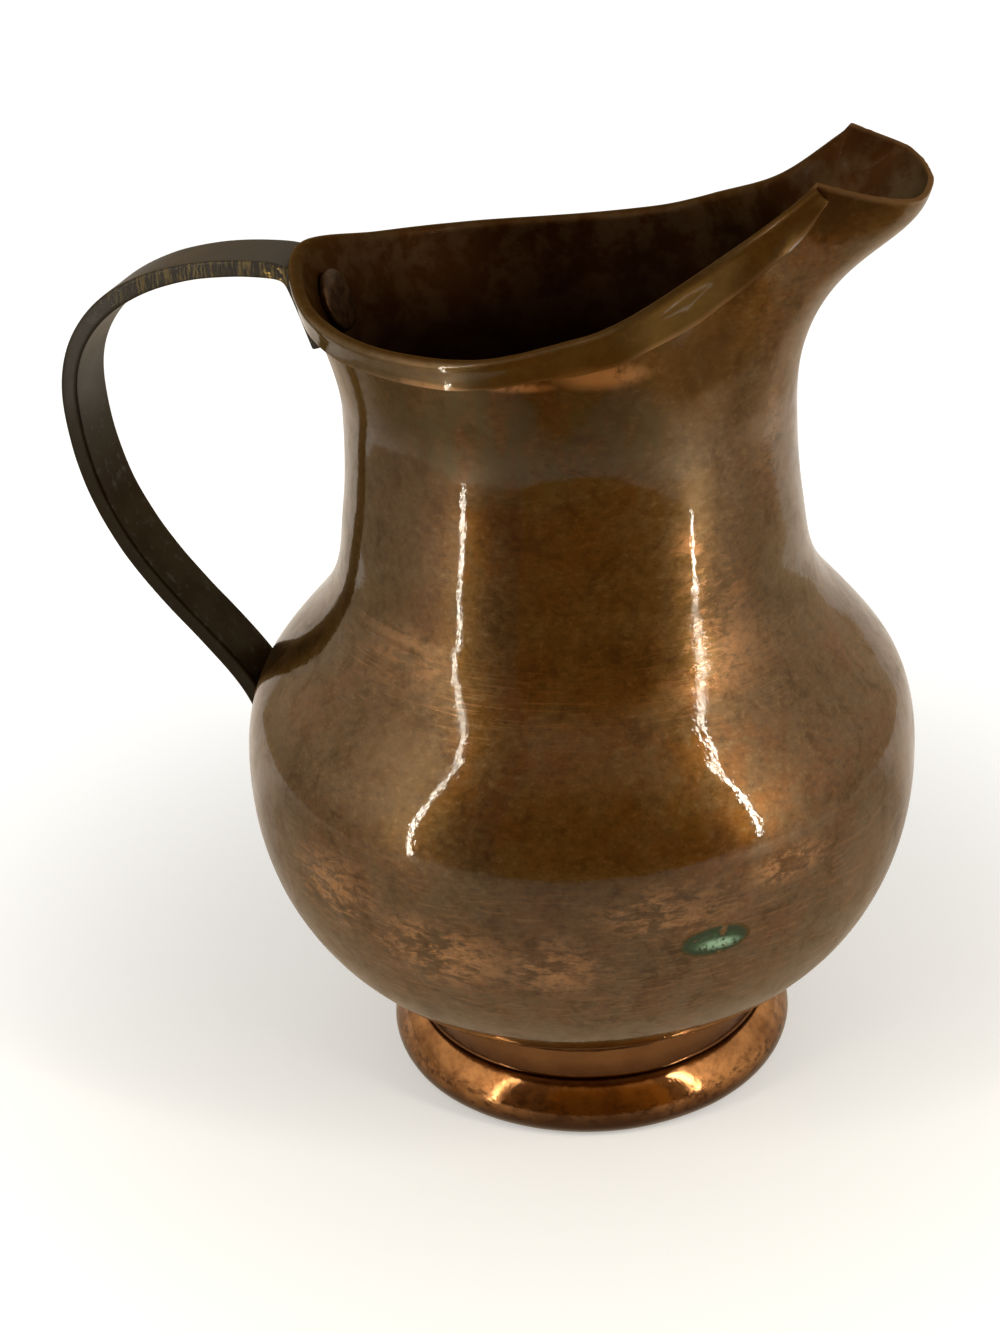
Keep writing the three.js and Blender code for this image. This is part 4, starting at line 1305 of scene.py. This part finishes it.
TO_THE_RIGHT = Vector((math.cos(CAMERA_AZIMUTH), math.sin(CAMERA_AZIMUTH), 0))
TO_THE_FRONT = Vector((math.sin(CAMERA_AZIMUTH), -math.cos(CAMERA_AZIMUTH), 0))


def make_camera():
    level = math.cos(CAMERA_HEIGHT_ANGLE)
    back = TO_THE_FRONT * level + Vector((0, 0, math.sin(CAMERA_HEIGHT_ANGLE)))
    up = back.cross(TO_THE_RIGHT)
    data = bpy.data.cameras.new("camera")
    data.sensor_width = SENSOR
    data.lens = FOCAL_PIXELS * SENSOR / PIXELS_HIGH
    data.shift_x = (PIXELS_WIDE / 2 - LOOK_PIXEL_X) / PIXELS_HIGH
    data.shift_y = (LOOK_PIXEL_Y - PIXELS_HIGH / 2) / PIXELS_HIGH
    data.clip_start = 0.01
    data.clip_end = 20
    camera = bpy.data.objects.new("camera", data)
    turn = Matrix((
        TO_THE_RIGHT * math.cos(CAMERA_ROLL) - up * math.sin(CAMERA_ROLL),
        TO_THE_RIGHT * math.sin(CAMERA_ROLL) + up * math.cos(CAMERA_ROLL),
        back,
    )).transposed().to_4x4()
    camera.matrix_world = Matrix.Translation(CAMERA_TARGET + back * CAMERA_DISTANCE) @ turn
    bpy.context.scene.collection.objects.link(camera)
    bpy.context.scene.camera = camera


# Studio: a pale cloth, even light, and a lit booth that only mirrors show

BOOTH_TINT = (1.0, 0.82, 0.60)
BOOTH_HEIGHT = 0.75
BOOTH_HALF_WIDTH = 0.325
STRIP_FRONT = 0.246
STRIP_WIDTH = 0.005
STRIP_LOW = 0.005
STRIP_LOW_RIGHT = 0.042
STRIP_TOP = 0.555
STRIP_WATTS_LEFT = 0.44
STRIP_WATTS_RIGHT = 0.76
STRIP_COLOUR = (1.0, 0.94, 0.80)
GLOW_WIDTH = 0.10
GLOW_WATTS = 0.9
WALL_SIDE = 0.335
WALL_BACK = -0.30
WALL_FRONT = 0.245
WALL_BRIGHT_ABOVE = 0.16
WALL_BRIGHT = 0.85
WALL_DIM_LEFT = 0.46
WALL_DIM_RIGHT = 0.60
HALO = 1.65
HALO_NEAR = 0.05
HALO_FAR = 0.26
OPENING_FRONT = 0.372
OPENING_LEFT = -0.181
OPENING_RIGHT = 0.290
OPENING_LOW = (0.40, 0.21, 0.04)
OPENING_HIGH = (0.70, 0.52, 0.30)
FRAME_FRONT = 0.371
FRAME_HALF_WIDTH = 0.6
FRAME_DIM = (0.22, 0.14, 0.07)


def studio_place(side, front, height):
    """A point of the studio: to the viewer's right of the bowl's axis, and towards the viewer."""
    return Vector((AXIS, 0, height)) + TO_THE_RIGHT * side + TO_THE_FRONT * front


def make_stage(name, bm, material):
    mesh = bpy.data.meshes.new(name)
    bm.to_mesh(mesh)
    bm.free()
    mesh.materials.append(material)
    thing = bpy.data.objects.new(name, mesh)
    bpy.context.scene.collection.objects.link(thing)
    return thing


def make_card(name, start, end, material):
    """A flat upright card, as high as the booth, that only mirrors show. Its ends are side and front."""
    bm = bmesh.new()
    foot = [studio_place(*start, 0), studio_place(*end, 0)]
    head = [studio_place(*end, BOOTH_HEIGHT), studio_place(*start, BOOTH_HEIGHT)]
    bm.faces.new([bm.verts.new(corner) for corner in foot + head])
    card = make_stage(name, bm, material)
    for kind in ("camera", "diffuse", "transmission", "volume_scatter", "shadow"):
        setattr(card, f"visible_{kind}", False)


def glowing(name):
    """A finish that neither takes light nor mirrors, for what only glows."""
    finish = Finish(name, coat=0.0, coat_roughness=0.5)
    finish.set(base_color=(0, 0, 0, 1), roughness=1.0)
    finish.shader.inputs["Specular IOR Level"].default_value = 0.0
    return finish


def make_wall(name, side, dim):
    """A side wall of the booth: dim at the floor, bright higher up and beside its strip."""
    finish = glowing(name + "_glow")
    offset = finish.vector("SUBTRACT", finish.place, tuple(studio_place(side, STRIP_FRONT, 0)))
    away = finish.vector("LENGTH", finish.vector("MULTIPLY", offset, (1, 1, 0)))
    glow = finish.fade(finish.height, 0.0, WALL_BRIGHT_ABOVE, dim, WALL_BRIGHT)
    glow = finish.times(glow, finish.fade(away, HALO_NEAR, HALO_FAR, HALO, 1.0))
    finish.set(emission_color=(*BOOTH_TINT, 1), emission_strength=glow)
    make_card(name, (side, WALL_BACK), (side, WALL_FRONT), finish.material)


def make_opening():
    """The warm dusk of the room in front, lighter towards its ceiling, and the dim frame round it."""
    dusk = glowing("opening_dark")
    glow = dusk.mix(dusk.fade(dusk.height, 0.34, 0.66), OPENING_LOW, OPENING_HIGH)
    dusk.set(emission_color=glow, emission_strength=1.0)
    frame_dim = glowing("frame_dim")
    frame_dim.set(emission_color=(*FRAME_DIM, 1), emission_strength=1.0)
    left, right = (OPENING_LEFT, FRAME_FRONT), (OPENING_RIGHT, FRAME_FRONT)
    make_card("front_opening", (OPENING_LEFT, OPENING_FRONT), (OPENING_RIGHT, OPENING_FRONT), dusk.material)
    make_card("front_left", (-FRAME_HALF_WIDTH, FRAME_FRONT), left, frame_dim.material)
    make_card("front_right", right, (FRAME_HALF_WIDTH, FRAME_FRONT), frame_dim.material)


def make_strip(name, side, width, watts, low=STRIP_LOW):
    data = bpy.data.lights.new(name, "AREA")
    data.shape = "RECTANGLE"
    data.size = width
    data.size_y = STRIP_TOP - low
    data.energy = watts
    data.color = STRIP_COLOUR
    light = bpy.data.objects.new(name, data)
    place = studio_place(side, STRIP_FRONT, (STRIP_TOP + low) / 2)
    towards = (Vector((AXIS, 0, place.z)) - place).normalized()
    light.matrix_world = Matrix.Translation(place) @ towards.to_track_quat("-Z", "Y").to_matrix().to_4x4()
    light.visible_camera = False
    bpy.context.scene.collection.objects.link(light)
    return light


CLOTH_COLOUR = (0.80, 0.79, 0.77)
CLOTH_MIRRORED = (0.56, 0.48, 0.38)
CLOTH_TINT_BEHIND = (1.0, 0.97, 0.93)
CLOTH_GLOW_NEAR = 0.27
CLOTH_GLOW_FAR = 0.62
CLOTH_NEAR = 0.07
CLOTH_FAR = 0.22
FLOOR_RADIUS = 4.0


def make_pale_cloth():
    """White cloth. The camera sees it lifted to white away from the pitcher. Mirrors see it warm and
    dim in front, and lighter at the sides and behind, where it gives the pitcher its light edges."""
    finish = Finish("pale_cloth", coat=0.0, coat_roughness=0.5)
    rays = finish.add("ShaderNodeLightPath").outputs
    finish.set(base_color=finish.mix(rays["Is Glossy Ray"], CLOTH_COLOUR, CLOTH_MIRRORED), roughness=0.95)
    finish.shader.inputs["Specular IOR Level"].default_value = 0.1
    offset = finish.vector("SUBTRACT", finish.place, (AXIS, 0, 0))
    away = finish.vector("LENGTH", offset)
    sideways = finish.vector("LENGTH", finish.vector("MULTIPLY", offset, (1, 0, 0)))
    ahead = finish.vector("DOT_PRODUCT", offset, tuple(TO_THE_FRONT))
    # Lifted less near the pitcher: a painted soft shade round it.
    seen = finish.fade(away, CLOTH_NEAR, CLOTH_FAR, CLOTH_GLOW_NEAR, CLOTH_GLOW_FAR)
    in_front = finish.fade(away, 0.10, 0.33, 0.18, 0.04)
    beside = finish.fade(sideways, 0.20, 0.34, 0, 0.40)
    behind = finish.fade(ahead, -0.02, -0.12, 0, 0.62)
    glow = finish.most(
        finish.times(seen, rays["Is Camera Ray"]),
        finish.times(finish.most(in_front, beside, behind), rays["Is Glossy Ray"]),
    )
    tint = finish.mix(finish.fade(ahead, -0.06, 0.0, 0, 1), CLOTH_TINT_BEHIND, BOOTH_TINT)
    tint = finish.mix(rays["Is Glossy Ray"], (1.0, 1.0, 1.0), tint)
    finish.set(emission_color=tint, emission_strength=glow)
    return finish.material


def make_floor():
    bm = bmesh.new()
    bmesh.ops.create_circle(bm, cap_ends=True, segments=96, radius=FLOOR_RADIUS)
    make_stage("floor", bm, make_pale_cloth())


WORLD_LIGHT = 0.48
WORLD_MIRRORED = 0.62


def make_world():
    """Even light. Mirrors see the booth's dimmer, warmer white, and the camera sees white."""
    world = bpy.data.worlds.new("world")
    bpy.context.scene.world = world
    world.use_nodes = True
    tree = world.node_tree
    rays = tree.nodes.new("ShaderNodeLightPath")
    mirrored = [WORLD_MIRRORED * part for part in BOOTH_TINT]
    colour = None
    for ray, seen in (("Is Camera Ray", (1, 1, 1)), ("Is Glossy Ray", mirrored)):
        share = tree.nodes.new("ShaderNodeMix")
        share.data_type = "RGBA"
        tree.links.new(rays.outputs[ray], share.inputs["Factor"])
        if colour:
            tree.links.new(colour, share.inputs[6])
        else:
            share.inputs[6].default_value = (WORLD_LIGHT, WORLD_LIGHT, WORLD_LIGHT, 1)
        share.inputs[7].default_value = (*seen, 1)
        colour = share.outputs[2]
    tree.links.new(colour, tree.nodes["Background"].inputs["Color"])


make_camera()
make_floor()
make_world()
make_strip("left_strip", -BOOTH_HALF_WIDTH, STRIP_WIDTH, STRIP_WATTS_LEFT)
make_strip("right_strip", BOOTH_HALF_WIDTH, STRIP_WIDTH, STRIP_WATTS_RIGHT, STRIP_LOW_RIGHT)
make_strip("left_glow", -BOOTH_HALF_WIDTH, GLOW_WIDTH, GLOW_WATTS).visible_glossy = False
make_strip("right_glow", BOOTH_HALF_WIDTH, GLOW_WIDTH, GLOW_WATTS).visible_glossy = False
make_opening()
make_wall("left_wall", -WALL_SIDE, WALL_DIM_LEFT)
make_wall("right_wall", WALL_SIDE, WALL_DIM_RIGHT)

bpy.context.scene.view_settings.view_transform = "Standard"
